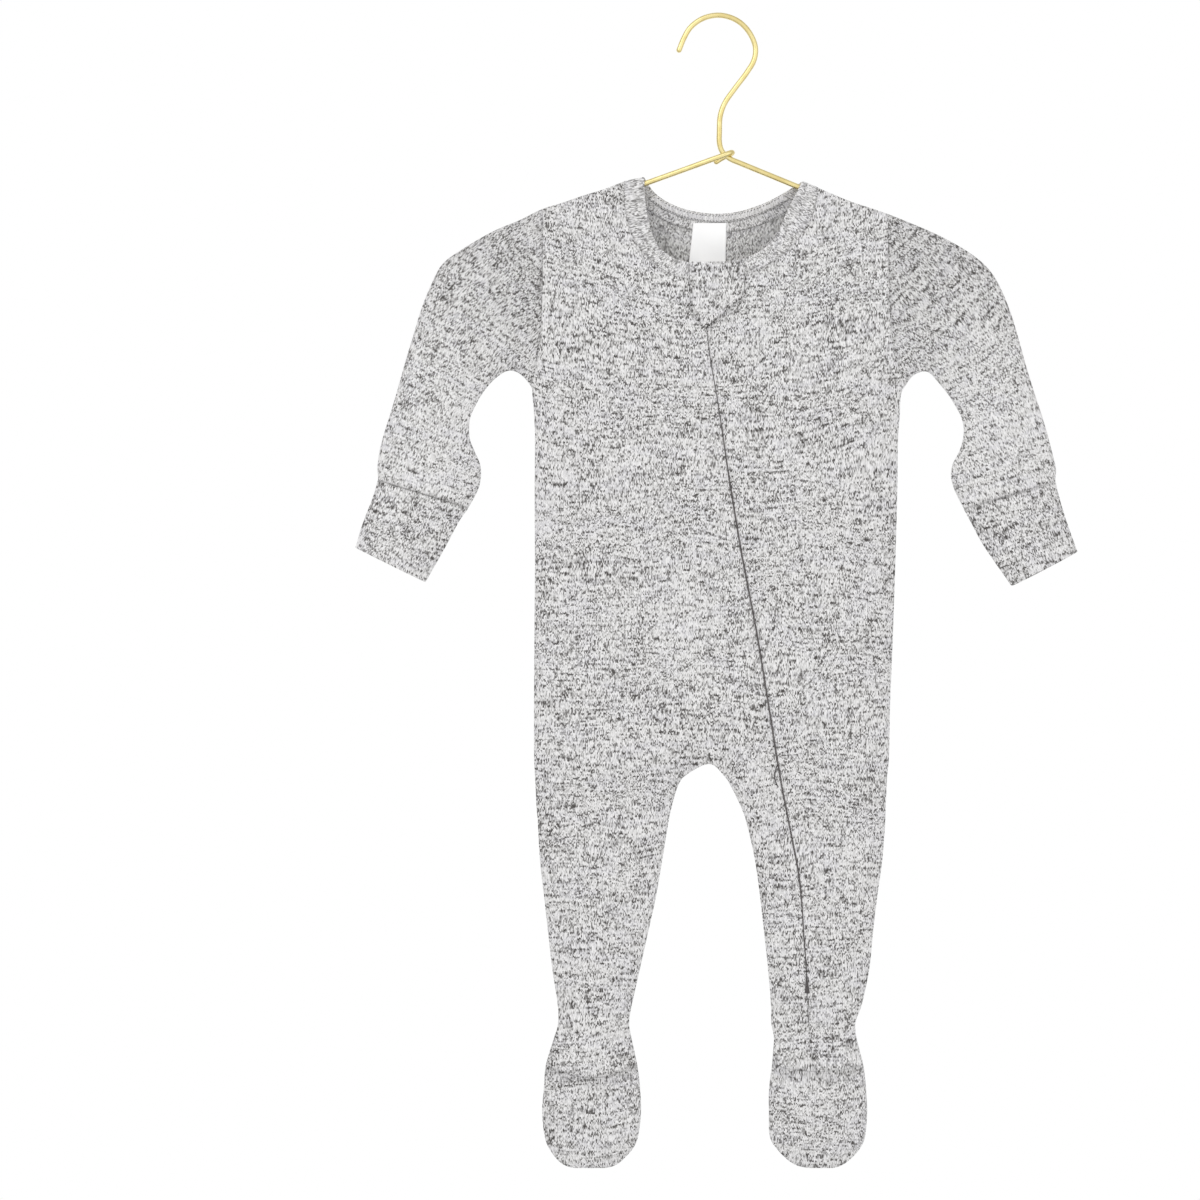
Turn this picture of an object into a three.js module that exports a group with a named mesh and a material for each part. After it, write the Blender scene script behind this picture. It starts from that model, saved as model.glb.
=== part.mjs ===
import * as THREE from 'three';

// A footed baby sleeper hanging flat on a wire hanger. Millimetres, Z up, the front faces -Y.
// The origin is the inside top of the hook, "down" is a distance below it, and left is the viewer's left.

const knitWall = 1.2;
const foldedWall = 1.8;
const tapeWall = 1;
const seamGap = 0.3;
const armholeGap = 0.5;
const foldedRaise = 0.3;
const zipGap = 1.3;

// The empty garment is a little inflated: its depth grows inwards from its outline.
const chestDepth = 13;
const edgeReach = 115;
const edgeRoundness = 3;
const edgeBlend = 4;
const onTheEdge = 0.12;

const upperRows = 12;
const legColumns = 10;
const stripColumns = 5;
const backRightColumns = 12;
const shoulderColumns = 5;
const samplesPerRow = 6;

function table(columns, rows) {
  return rows.map((row) => Object.fromEntries(columns.map((name, index) => [name, row[index]])));
}

// Shoulders from the neck edge to the armhole. The first row is the neck's free edge, the second its seam.
const leftShoulder = table(['x', 'down'], [
  [-48.5, 102],
  [-61.4, 104.8],
  [-74, 109.6],
  [-88.5, 114],
  [-101, 118.4],
]);
const rightShoulder = table(['x', 'down'], [
  [52.5, 104.6],
  [62.7, 108.8],
  [74, 113.6],
  [85, 118],
  [96, 121.6],
]);

// Sleeves from the armhole to the cuff's end, a row for each ring: its edge on the outside of the arm
// and its edge under the arm.
const sleeveColumns = ['outerX', 'outerDown', 'innerX', 'innerDown'];
const leftSleeve = table(sleeveColumns, [
  [-113.3, 122.2, -121, 235.5],
  [-128.6, 129.6, -128.6, 227.4],
  [-146, 137, -136.3, 226],
  [-165.5, 148.5, -144.6, 231.5],
  [-177.5, 157.5, -151.5, 239.5],
  [-184.5, 170, -156.2, 247.5],
  [-191, 186, -159.8, 255.5],
  [-196.5, 204, -160.6, 262.5],
  [-201.5, 220.5, -160, 270],
  [-206.7, 239, -156.8, 278],
  [-211.3, 254.5, -153.6, 285.5],
  [-215, 266, -153, 292.5],
  [-217.8, 277.5, -154.2, 300],
  [-219.2, 288, -157.4, 307],
  [-218.9, 296, -161.3, 313.6],
  [-222.5, 308.5, -167.5, 322.5],
  [-228.5, 324, -176.3, 339],
  [-233, 339.2, -188.8, 361],
]);
const rightSleeve = table(sleeveColumns, [
  [106.9, 125.4, 118.4, 235.5],
  [121.6, 131.2, 124.2, 228.4],
  [139.5, 139, 132.6, 226.4],
  [158, 149.2, 139.5, 233],
  [170.2, 159, 146.6, 241.8],
  [178, 170, 151, 249],
  [185, 186, 154.2, 255],
  [190.5, 203.5, 156, 262.5],
  [195.2, 220.5, 155.4, 270],
  [201, 239.5, 153, 277.8],
  [206, 254.7, 149, 285.5],
  [209.5, 266.5, 147.8, 293],
  [212.5, 278, 149.6, 300.8],
  [215, 289, 152.4, 307],
  [214.6, 297, 156.2, 314.2],
  [217.8, 310.4, 160.8, 322.6],
  [222.7, 325.8, 169.2, 338],
  [228.5, 341.8, 186.9, 363.5],
]);
const cuffSeamRing = 14;
const cuffEndRing = 17;

// The body's two sides, from the underarm to just above the crotch.
const torso = table(['down', 'left', 'right'], [
  [235.5, -121, 118.4],
  [242, -120, 115.6],
  [254.5, -119, 115],
  [270, -118.4, 113.9],
  [308, -118.6, 113.3],
  [354, -118.4, 112],
  [400, -118.8, 110.4],
  [439, -119, 108.8],
  [459, -119, 108.4],
  [469.5, -119, 108.2],
  [474.5, -118.9, 108],
]);

// Both legs and feet, from the crotch to the tip of the toes.
const legs = table(['down', 'leftOuter', 'leftInner', 'rightInner', 'rightOuter'], [
  [477.4, -118.8, -7, -7, 107.8],
  [485, -118.4, -22.4, 2.6, 107],
  [493, -118, -27.5, 7.7, 106.6],
  [505, -117.4, -31, 13.5, 106],
  [516, -116.5, -33.3, 17.3, 105.6],
  [539, -115.2, -37, 22.4, 103.8],
  [562, -112.6, -41, 25.6, 100.6],
  [585, -110, -46, 28.2, 97.9],
  [608, -107.4, -51.2, 30.7, 95.6],
  [631, -103.9, -56.3, 32.6, 90.8],
  [643, -103.6, -58.2, 32.8, 86.6],
  [654, -106.6, -56.4, 34.6, 87.6],
  [670, -111.4, -53, 33.3, 91.6],
  [685, -112.7, -51.2, 31.4, 93.4],
  [700, -113.8, -50.6, 31.3, 94.1],
  [715.5, -112.2, -52.4, 31.8, 92.8],
  [723.5, -109.3, -55.8, 36.2, 89.5],
  [731, -103.7, -62.6, 43.6, 82.6],
  [734.6, -98.5, -68, 50, 77],
  [736, -92.8, -73.6, 56.4, 71.8],
]);
const heelRow = 11;
const instepRow = 12;
const toeRow = legs.length - 1;

// The zip's line from the neck seam to its stop, and the seam that goes on from there to the instep.
const zipLine = table(['down', 'x'], [
  [157, -10.9],
  [168.6, -10.9],
  [198.4, -9],
  [216, -7],
  [244.5, -2.2],
  [293, 5.1],
  [331, 11.2],
  [398, 23.7],
  [449, 32],
  [488, 38.4],
  [525, 45.6],
  [545, 49.4],
  [587, 53.2],
  [614, 55],
  [635, 55.6],
  [654, 57.6],
  [672, 59.5],
]);
const zipTopDown = 168.6;
const zipEndDown = 620;

// Neck band: its seam to the panels and its free edge.
const neckColumns = ['seamX', 'seamDown', 'edgeX', 'edgeDown'];
const leftFrontNeck = table(neckColumns, [
  [-61.4, 104.8, -48.5, 102],
  [-61.2, 119.5, -47.8, 118.5],
  [-56.6, 139.5, -44.4, 136.5],
  [-49.3, 151.5, -38.8, 147.5],
  [-40, 160.4, -32, 153.8],
  [-29.5, 166.2, -24.6, 156.6],
  [-19.5, 168.2, -17.5, 157.8],
  [-11.55, 168.6, -11.55, 158.2],
]);
const rightFrontNeck = table(neckColumns, [
  [62.7, 108.8, 52.5, 104.6],
  [61.2, 119.5, 48, 113.5],
  [55.8, 133, 42.4, 124.5],
  [46, 146.6, 36, 139],
  [34.6, 156.4, 27.6, 148.6],
  [20.5, 163.6, 16.6, 154.2],
  [5.5, 167.6, 4.2, 157],
  [-10.25, 168.6, -10.25, 158.2],
]);
const backNeck = table(neckColumns, [
  [-61.4, 104.8, -48.5, 102],
  [-54.6, 115.2, -42.6, 110.2],
  [-44.2, 123.8, -35.2, 115.8],
  [-30.8, 131, -25.4, 120.2],
  [-16.6, 135, -14, 123],
  [-1.9, 136.3, -1.9, 124.2],
  [13.4, 135, 10.8, 123],
  [27.6, 131, 22.4, 119.8],
  [41, 124.6, 33, 115.6],
  [53.4, 116.6, 43, 110.2],
  [62.7, 108.8, 52.5, 104.6],
]);
const neckTapeWidth = 5.5;
const neckTapeEnd = 0.12;

// The flap that covers the top of the zip.
const chinGuard = table(['down', 'left', 'right'], [
  [157.4, -19.5, 14.4],
  [160.5, -19.6, 14.7],
  [165, -19.6, 14.8],
  [170, -19.6, 14.8],
  [175, -19.5, 14.5],
  [179.2, -19.4, 13.2],
  [184, -18.9, 8],
  [189, -17.6, 2.4],
  [194, -14.7, -3.3],
  [197.6, -11.6, -7.4],
  [198.8, -10.2, -8.8],
]);
const guardColumns = 8;
const guardClear = 0.3;
const guardBump = { down: 179, halfWidth: 9, halfHeight: 20, rise: 2.2 };

// Slider and pull tab under the flap, as half widths about the zip's line.
const slider = table(['down', 'half'], [
  [170.2, 2],
  [171, 3],
  [174, 3.6],
  [177.4, 3.1],
  [178.4, 2.2],
]);
const sliderWall = 2;
const pullTab = table(['down', 'half'], [
  [178.8, 1.2],
  [179.4, 1.6],
  [187, 2.2],
  [190.2, 2],
  [191, 1.2],
]);
const pullWall = 1.1;
const stop = table(['down', 'half'], [
  [620.2, 1.2],
  [623, 1.3],
]);
const stopWall = 0.8;

const label = table(['down', 'left', 'right'], [
  [130.2, -16.9, 4.4],
  [139, -17.9, 4.3],
  [148, -18.9, 4.2],
  [156.4, -19.8, 4.1],
]);

// Soft folds of the hanging cloth: a centre, a turn in degrees, half lengths along and across, how far the
// cloth stands out there, and the side it is on (-1 front, 1 back).
const folds = table(['x', 'down', 'turn', 'along', 'across', 'rise', 'side'], [
  [-104, 262, 38, 26, 7, 1.1, -1],
  [99, 266, -40, 24, 7, 1, -1],
  [-96, 285, 33, 30, 9, -0.9, -1],
  [-150, 200, 64, 34, 8, 0.9, -1],
  [146, 196, -66, 30, 8, 0.8, -1],
  [-26, 462, 30, 26, 7, 1, -1],
  [14, 466, -28, 24, 6, 0.9, -1],
  [-72, 634, 86, 22, 4.5, 1.2, -1],
  [-89, 630, 94, 18, 4, -1, -1],
  [66, 638, 92, 20, 4.5, 1.1, -1],
  [-74, 634, 88, 24, 5, 1.2, 1],
  [72, 632, 91, 22, 5, 1.1, 1],
  [-58, 330, 80, 70, 16, 1.3, 1],
  [46, 360, 97, 80, 14, -1.2, 1],
  [-100, 262, 140, 28, 8, 1.1, 1],
  [98, 264, 42, 26, 8, 1, 1],
]);

// Hanger: a hook, two arms, a bar between them, and the wire's end wound round the foot of the hook.
const wireRadius = 1.7;
const wireSides = 10;
const hookWire = table(['x', 'y', 'z'], [
  [-26.2, 0, -20.6],
  [-23, 0, -12.8],
  [-18.8, 0, -6],
  [-10.6, 0, -0.2],
  [0, 0, 1.7],
  [10.8, 0, -1.6],
  [18.4, 0, -8.8],
  [22.6, 0, -18.6],
  [21.8, 0, -26.9],
  [17.3, 0, -34.8],
  [9.8, 0, -44.8],
  [2.9, 0, -54.8],
  [0.1, 0, -63],
  [-0.4, 0, -73],
  [-0.4, 0, -79.6],
  [1.2, 0, -85.2],
  [6.2, 0, -90],
  [13, 0, -93],
]);
const windingWire = table(['x', 'y', 'z'], [
  [-44, 0, -104.6],
  [-22, -1.6, -96.9],
  [-6, -3.5, -91.3],
  [0.6, -3.9, -89],
  [5, -3.6, -87.3],
  [7, -2.2, -86.5],
  [7.8, 0, -86.3],
  [7, 2.2, -86.8],
  [4.6, 3.7, -87.8],
  [0.8, 4, -89.6],
  [-2.2, 3.8, -91.6],
]);
const rightArm = { centreX: 126, centreZ: -154.4, slope: 22.4 };
const leftArm = { centreX: -126, centreZ: -148.2, slope: 19.2 };
const armEndRadius = 14;
const armEndSteps = 10;

const mix = (a, b, share) => a + (b - a) * share;
const radians = (degrees) => (degrees * Math.PI) / 180;
const flat = (x, down) => new THREE.Vector2(x, -down);
const between = (a, b, share) => new THREE.Vector2(mix(a.x, b.x, share), mix(a.y, b.y, share));

// Shares from 0 to 1, close together at both ends, at the first end or at the last one.
const closeAtBoth = (count) => steps(count).map((share) => (1 - Math.cos(Math.PI * share)) / 2);
const closeAtFirst = (count) => steps(count).map((share) => 1 - Math.cos((Math.PI * share) / 2));
const closeAtLast = (count) => steps(count).map((share) => Math.sin((Math.PI * share) / 2));

function steps(count) {
  return Array.from({ length: count + 1 }, (unused, index) => index / count);
}

// A smooth line through its rows in the X-Z plane, with the cloth on its left hand.
class Outline {
  constructor(points) {
    this.last = points.length - 1;
    this.curve = new THREE.SplineCurve(points);
    this.samples = this.last > 1 ? this.curve.getPoints(this.last * samplesPerRow) : points;
  }

  at(row) {
    return this.curve.getPoint(Math.min(Math.max(row / this.last, 0), 1));
  }

  // The distance of a point and the direction in which that distance grows.
  nearest(x, z) {
    let best = Infinity;
    let across = null;
    let segment = null;
    for (let index = 0; index < this.samples.length - 1; index += 1) {
      const a = this.samples[index];
      const b = this.samples[index + 1];
      const alongX = b.x - a.x;
      const alongZ = b.y - a.y;
      const share = ((x - a.x) * alongX + (z - a.y) * alongZ) / (alongX * alongX + alongZ * alongZ);
      const held = Math.min(Math.max(share, 0), 1);
      const offX = x - a.x - held * alongX;
      const offZ = z - a.y - held * alongZ;
      const distance = Math.hypot(offX, offZ);
      if (distance < best) {
        best = distance;
        across = [offX, offZ];
        segment = [alongX, alongZ];
      }
    }
    if (best > onTheEdge) {
      return { distance: best, x: across[0] / best, z: across[1] / best };
    }
    const length = Math.hypot(...segment);
    return { distance: 0, x: -segment[1] / length, z: segment[0] / length };
  }
}

const outerPoints = (rings) => rings.map((ring) => flat(ring.outerX, ring.outerDown));
const innerPoints = (rings) => rings.map((ring) => flat(ring.innerX, ring.innerDown));
const shoulderPoints = (rows) => rows.map((row) => flat(row.x, row.down));
const bodyPoints = (torsoSide, legSide) => [
  ...torso.slice(1).map((row) => flat(row[torsoSide], row.down)),
  ...legs.map((row) => flat(row[legSide], row.down)),
];

const leftTop = new Outline([...shoulderPoints(leftShoulder), ...outerPoints(leftSleeve)]);
const rightTop = new Outline([...shoulderPoints(rightShoulder), ...outerPoints(rightSleeve)].reverse());
const leftSide = new Outline([...innerPoints(leftSleeve).reverse(), ...bodyPoints('left', 'leftOuter')]);
const rightSide = new Outline([...innerPoints(rightSleeve).reverse(), ...bodyPoints('right', 'rightOuter')].reverse());
const insideLegs = new Outline([
  ...legs.map((row) => flat(row.leftInner, row.down)).reverse(),
  ...legs.slice(1).map((row) => flat(row.rightInner, row.down)),
]);
const leftToe = new Outline([
  flat(legs[toeRow].leftOuter, legs[toeRow].down),
  flat(legs[toeRow].leftInner, legs[toeRow].down),
]);
const rightToe = new Outline([
  flat(legs[toeRow].rightInner, legs[toeRow].down),
  flat(legs[toeRow].rightOuter, legs[toeRow].down),
]);
const outlines = [leftTop, rightTop, leftSide, rightSide, insideLegs, leftToe, rightToe];

const topOf = (side, ring) => (side < 0
  ? leftTop.at(leftShoulder.length + ring)
  : rightTop.at(rightTop.last - rightShoulder.length - ring));
const underOf = (side, ring) => (side < 0
  ? leftSide.at(cuffEndRing - ring)
  : rightSide.at(rightSide.last - cuffEndRing + ring));
const sideOf = (side, row) => (side < 0
  ? leftSide.at(cuffEndRing + row)
  : rightSide.at(rightSide.last - cuffEndRing - row));
const outsideLegOf = (side, row) => sideOf(side, torso.length + row);
const insideLegOf = (side, row) => insideLegs.at(toeRow + side * row);

function zipX(down) {
  const after = Math.max(1, zipLine.findIndex((row) => row.down >= down));
  const before = zipLine[after - 1];
  const share = (down - before.down) / (zipLine[after].down - before.down);
  return mix(before.x, zipLine[after].x, share);
}

function zipEdge(down, side) {
  const closing = THREE.MathUtils.smoothstep(down, zipEndDown, zipEndDown + 8);
  return flat(zipX(down) + (side * mix(zipGap, seamGap, closing)) / 2, down);
}

function foldHeight(x, z, side) {
  let height = 0;
  for (const fold of folds) {
    if (fold.side !== side) {
      continue;
    }
    const turn = radians(fold.turn);
    const offX = x - fold.x;
    const offZ = z + fold.down;
    const along = (offX * Math.cos(turn) + offZ * Math.sin(turn)) / fold.along;
    const across = (offZ * Math.cos(turn) - offX * Math.sin(turn)) / fold.across;
    height += fold.rise * Math.exp(-along * along - across * across);
  }
  return height;
}

// How far the cloth's outer face stands from the middle plane, with the slope of that depth.
function depthAt(x, z, side) {
  const near = outlines.map((outline) => outline.nearest(x, z));
  const least = Math.min(...near.map((one) => one.distance));
  const distances = near.map((one) => Math.max(one.distance, 0.0005));
  const distance = distances.reduce((sum, one) => sum + one ** -edgeBlend, 0) ** (-1 / edgeBlend);
  const reach = 1 - Math.min(distance, edgeReach) / edgeReach;
  const rise = Math.max(1 - reach ** edgeRoundness, 1e-6);
  const steep = (chestDepth * edgeRoundness * reach ** (edgeRoundness - 1)) / (2 * edgeReach * Math.sqrt(rise));
  let slopeX = 0;
  let slopeZ = 0;
  near.forEach((one, index) => {
    const share = (distance / distances[index]) ** (edgeBlend + 1);
    slopeX += steep * share * one.x;
    slopeZ += steep * share * one.z;
  });
  const fade = THREE.MathUtils.smoothstep(least, 2, 16);
  const delta = 0.5;
  const height = (atX, atZ) => fade * foldHeight(atX, atZ, side);
  return {
    depth: least === 0 ? 0 : chestDepth * Math.sqrt(rise) + height(x, z),
    slopeX: slopeX + (height(x + delta, z) - height(x - delta, z)) / (2 * delta),
    slopeZ: slopeZ + (height(x, z + delta) - height(x, z - delta)) / (2 * delta),
  };
}

// A sheet of cloth is a net of points in the X-Z plane, each on the front (-1), the back (1) or the
// folded edge between them (0). It becomes a closed wall between two distances under the outer face.
class Sheet {
  constructor(least = seamGap / 2) {
    this.least = least;
    this.points = [];
    this.faces = [];
    this.known = new Map();
  }

  point(place) {
    const key = [place.x, place.z, place.side].map((number) => Math.round(number * 1000)).join();
    if (!this.known.has(key)) {
      this.known.set(key, this.points.length);
      this.points.push(place);
    }
    return this.known.get(key);
  }

  add(rows) {
    const net = rows.map((row) => row.map((place) => this.point(place)));
    for (let row = 0; row < net.length - 1; row += 1) {
      for (let column = 0; column < net[row].length - 1; column += 1) {
        const [a, b] = [net[row][column], net[row][column + 1]];
        const [c, d] = [net[row + 1][column], net[row + 1][column + 1]];
        this.face(a, c, d);
        this.face(a, d, b);
      }
    }
    return this;
  }

  face(a, b, c) {
    if (a !== b && b !== c && a !== c) {
      this.faces.push([a, b, c]);
    }
  }

  // The points moved inwards by a depth, a number or a function of the point.
  layer(inwards) {
    return this.points.map((place) => {
      const shape = depthAt(place.x, place.z, place.side);
      const depth = Math.max(shape.depth, this.least);
      const outwards = new THREE.Vector3(-shape.slopeX, place.side, -shape.slopeZ).normalize();
      const moved = typeof inwards === 'function' ? inwards(place) : inwards;
      const point = new THREE.Vector3(place.x, place.side * depth, place.z);
      point.addScaledVector(outwards, -moved);
      point.x += place.shift ?? 0;
      return point;
    });
  }

  wall(outside, inside) {
    const points = [...this.layer(outside), ...this.layer(inside)];
    const below = this.points.length;
    const faces = [];
    const open = new Map();
    for (const [a, b, c] of this.faces) {
      faces.push([a, b, c], [c + below, b + below, a + below]);
      for (const [from, to] of [[a, b], [b, c], [c, a]]) {
        if (!open.delete(`${to},${from}`)) {
          open.set(`${from},${to}`, [from, to]);
        }
      }
    }
    for (const [from, to] of open.values()) {
      faces.push([to, from, from + below], [to, from + below, to + below]);
    }
    return solid(points, faces);
  }
}

// A closed geometry with its faces outwards.
function solid(points, faces) {
  const volume = faces.reduce((sum, [a, b, c]) => {
    const turned = new THREE.Vector3().crossVectors(points[b], points[c]);
    return sum + points[a].dot(turned);
  }, 0);
  const order = volume < 0 ? faces.map(([a, b, c]) => [c, b, a]) : faces;
  const geometry = new THREE.BufferGeometry();
  geometry.setAttribute('position', new THREE.Float32BufferAttribute(points.flatMap((point) => point.toArray()), 3));
  geometry.setIndex(order.flat());
  geometry.computeVertexNormals();
  return geometry;
}

const onSide = (point, side, shift) => ({ x: point.x, z: point.y, side, shift });
const rowBetween = (a, b, shares, side) => shares.map((share) => onSide(between(a, b, share), side));
const join = (first, second) => [...first, ...second.slice(1)];

// The armhole seam from the underarm (0) to the shoulder (1). It runs straight and turns out at its foot.
function armhole(side, share) {
  const tip = topOf(side, 0);
  const foot = underOf(side, 0);
  const turnOut = (1 - share) ** 5;
  return new THREE.Vector2(mix(tip.x, foot.x, turnOut), mix(foot.y, tip.y, share));
}

const smoothLine = (rows, x, down) => new THREE.SplineCurve(rows.map((row) => flat(row[x], row[down])));

function neckLine(rows) {
  const seam = smoothLine(rows, 'seamX', 'seamDown');
  const edge = smoothLine(rows, 'edgeX', 'edgeDown');
  return { seam: (share) => seam.getPoint(share), edge: (share) => edge.getPoint(share) };
}

const neckSteps = { front: closeAtFirst(10), back: closeAtBoth(12) };
const leftNeck = neckLine(leftFrontNeck);
const rightNeck = neckLine(rightFrontNeck);
const rearNeck = neckLine(backNeck);

// The shoulder from the armhole to the neck seam.
function shoulderRow(side) {
  const outline = side < 0 ? leftTop : rightTop;
  const tip = side < 0 ? leftShoulder.length : outline.last - rightShoulder.length;
  const neck = side < 0 ? 1 : outline.last - 1;
  return closeAtFirst(shoulderColumns).map((share) => outline.at(mix(tip, neck, share)));
}

// The part above the underarms: lines from the torso's first row up to the shoulders and the neck.
function upperPart(bottom, top, leftEdge, rightEdge, side) {
  return closeAtBoth(upperRows).map((share) => bottom.map((foot, column) => {
    const point = between(foot, top[column], share);
    const across = column / (bottom.length - 1);
    const left = leftEdge(share).sub(between(bottom[0], top[0], share));
    const right = rightEdge(share).sub(between(bottom.at(-1), top.at(-1), share));
    point.addScaledVector(left, (1 - across) ** 3);
    point.addScaledVector(right, across ** 3);
    return onSide(point, side);
  }));
}

function zipAbove(side) {
  return (share) => zipEdge(mix(torso[0].down, zipTopDown, share), side);
}

const torsoRows = [...torso, legs[0]];
const crotch = insideLegs.at(toeRow);

// Shares of the last torso row's width for the columns of both legs, which meet at the crotch.
function sharesAtCrotch(left, right, leftSteps, rightSteps) {
  const divide = (crotch.x - left.x) / (right.x - left.x);
  return join(leftSteps.map((step) => step * divide), rightSteps.map((step) => mix(divide, 1, step)));
}

// The torso's rows. Their columns start under the points of the top row and end over those of the legs.
function torsoNet(leftEdge, rightEdge, top, spacing, crotchShares) {
  const width = top.at(-1).x - top[0].x;
  const topShares = top.map((point, column) => (spacing[column] + (point.x - top[0].x) / width) / 2);
  return torsoRows.map((row, index) => topShares.map((share, column) => {
    const lowered = mix(share, crotchShares[column], index / (torsoRows.length - 1));
    return between(leftEdge(index), rightEdge(index), lowered);
  }));
}

const placed = (rows, side) => rows.map((row) => row.map((point) => onSide(point, side)));
const legRows = (last) => Array.from({ length: last + 1 }, (unused, row) => row);

function leftFront() {
  const legSteps = closeAtBoth(legColumns);
  const stripSteps = closeAtFirst(stripColumns);
  const side = (index) => sideOf(-1, index);
  const zip = (index) => zipEdge(torsoRows[index].down, -1);
  const shares = sharesAtCrotch(side(torso.length), zip(torso.length), legSteps, stripSteps);
  const top = join(shoulderRow(-1), neckSteps.front.map(leftNeck.seam));
  const rows = torsoNet(side, zip, top, closeAtFirst(top.length - 1), shares);
  const armEdge = (share) => armhole(-1, share);
  const sheet = new Sheet();
  sheet.add(upperPart(rows[0], top, armEdge, zipAbove(-1), -1).reverse());
  sheet.add(placed(rows, -1));
  sheet.add(legRows(instepRow).map((row) => (
    rowBetween(outsideLegOf(-1, row), insideLegOf(-1, row), legSteps, -1))));
  sheet.add(legRows(instepRow).map((row) => (
    rowBetween(insideLegOf(1, row), zipEdge(legs[row].down, -1), stripSteps, -1))));
  return sheet.wall(0, knitWall);
}

function rightFront() {
  const side = (index) => sideOf(1, index);
  const zip = (index) => zipEdge(torsoRows[index].down, 1);
  const top = join(neckSteps.front.map(rightNeck.seam).reverse(), shoulderRow(1).reverse());
  const columns = closeAtLast(top.length - 1);
  const rows = torsoNet(zip, side, top, columns, columns);
  const armEdge = (share) => armhole(1, share);
  const sheet = new Sheet();
  sheet.add(upperPart(rows[0], top, zipAbove(1), armEdge, -1).reverse());
  sheet.add(placed(rows, -1));
  sheet.add(legRows(instepRow).map((row) => (
    rowBetween(zipEdge(legs[row].down, 1), outsideLegOf(1, row), columns, -1))));
  return sheet.wall(0, knitWall);
}

function back() {
  const leftSteps = closeAtBoth(legColumns);
  const rightSteps = closeAtBoth(backRightColumns);
  const left = (index) => sideOf(-1, index);
  const right = (index) => sideOf(1, index);
  const shares = sharesAtCrotch(left(torso.length), right(torso.length), leftSteps, rightSteps);
  const neck = join(shoulderRow(-1), neckSteps.back.map(rearNeck.seam));
  const top = join(neck, shoulderRow(1).reverse());
  const rows = torsoNet(left, right, top, closeAtBoth(top.length - 1), shares);
  const sheet = new Sheet();
  sheet.add(upperPart(rows[0], top, (share) => armhole(-1, share), (share) => armhole(1, share), 1).reverse());
  sheet.add(placed(rows, 1));
  sheet.add(legRows(heelRow).map((row) => (
    rowBetween(outsideLegOf(-1, row), insideLegOf(-1, row), leftSteps, 1))));
  sheet.add(legRows(heelRow).map((row) => (
    rowBetween(insideLegOf(1, row), outsideLegOf(1, row), rightSteps, 1))));
  return sheet.wall(0, knitWall);
}

// A closed ring of points: over the front from the outside of the arm to its underside, and back behind.
function ringAround(pointAt, shift) {
  const shares = closeAtBoth(upperRows);
  const front = shares.map((share) => onSide(pointAt(share), -1, shift));
  const rear = shares.map((share) => onSide(pointAt(share), 1, shift)).reverse();
  const ring = join(front, rear);
  for (const fold of [0, upperRows, 2 * upperRows]) {
    ring[fold].side = 0;
  }
  return ring;
}

function sleeveRing(side, ring) {
  if (ring === 0) {
    return ringAround((share) => armhole(side, 1 - share), side * armholeGap);
  }
  return ringAround((share) => between(topOf(side, ring), underOf(side, ring), share));
}

function sleeve(side) {
  const sheet = new Sheet(0);
  const rings = Array.from({ length: cuffSeamRing + 1 }, (unused, ring) => sleeveRing(side, ring));
  return sheet.add(rings).wall(0, knitWall);
}

function cuff(side) {
  const afterSeam = cuffSeamRing + seamGap / 7;
  const rings = [afterSeam, cuffSeamRing + 0.4, cuffSeamRing + 1, cuffSeamRing + 2, cuffEndRing];
  const sheet = new Sheet(0);
  return sheet.add(rings.map((ring) => sleeveRing(side, ring))).wall(-foldedRaise, foldedWall - foldedRaise);
}

// The toe half of a foot on one side of the garment, from its seam to the tip.
function footHalf(side, face, seamRow) {
  const afterSeam = seamRow + seamGap / 15;
  const rows = [afterSeam, seamRow + 0.4];
  for (let row = seamRow + 1; row <= toeRow; row += 1) {
    rows.push(row);
  }
  const columns = closeAtBoth(legColumns);
  const sheet = new Sheet();
  sheet.add(rows.map((row) => rowBetween(outsideLegOf(side, row), insideLegOf(side, row), columns, face)));
  return sheet.wall(0, knitWall);
}

// The band runs from the zip over the left shoulder, round the back and down to the zip again.
function neckBand() {
  const widths = [seamGap / 12, 0.2, 0.6, 1];
  const across = (line, share, side) => widths.map((width) => (
    onSide(between(line.seam(share), line.edge(share), width), side)));
  const frontSide = (share) => (share === 0 ? 0 : -1);
  const backSide = (share) => (share === 0 || share === 1 ? 0 : 1);
  const left = neckSteps.front.map((share) => across(leftNeck, share, frontSide(share))).reverse();
  const rear = neckSteps.back.map((share) => across(rearNeck, share, backSide(share)));
  const right = neckSteps.front.map((share) => across(rightNeck, share, frontSide(share)));
  const sheet = new Sheet(0);
  return sheet.add(join(join(left, rear), right)).wall(-foldedRaise, foldedWall - foldedRaise);
}

const insideBand = foldedWall - foldedRaise + seamGap;

function neckTape() {
  const bandWidth = 12;
  const sheet = new Sheet();
  const widths = [0.06, 0.3, neckTapeWidth / bandWidth];
  const shares = neckSteps.back.filter((share) => share > neckTapeEnd && share < 1 - neckTapeEnd);
  sheet.add(shares.map((share) => widths.map((width) => (
    onSide(between(rearNeck.edge(share), rearNeck.seam(share), width), 1)))));
  return sheet.wall(insideBand, insideBand + tapeWall);
}

function labelPatch() {
  const sheet = new Sheet();
  sheet.add(label.map((row) => rowBetween(flat(row.left, row.down), flat(row.right, row.down), steps(4), 1)));
  return sheet.wall(insideBand, insideBand + tapeWall);
}

function guardRise(place) {
  const offX = (place.x - zipX(guardBump.down)) / guardBump.halfWidth;
  const offZ = (place.z + guardBump.down) / guardBump.halfHeight;
  const near = THREE.MathUtils.smoothstep(1 - Math.hypot(offX, offZ) ** 2, 0, 0.55);
  return foldedRaise + guardClear + guardBump.rise * near;
}

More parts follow.
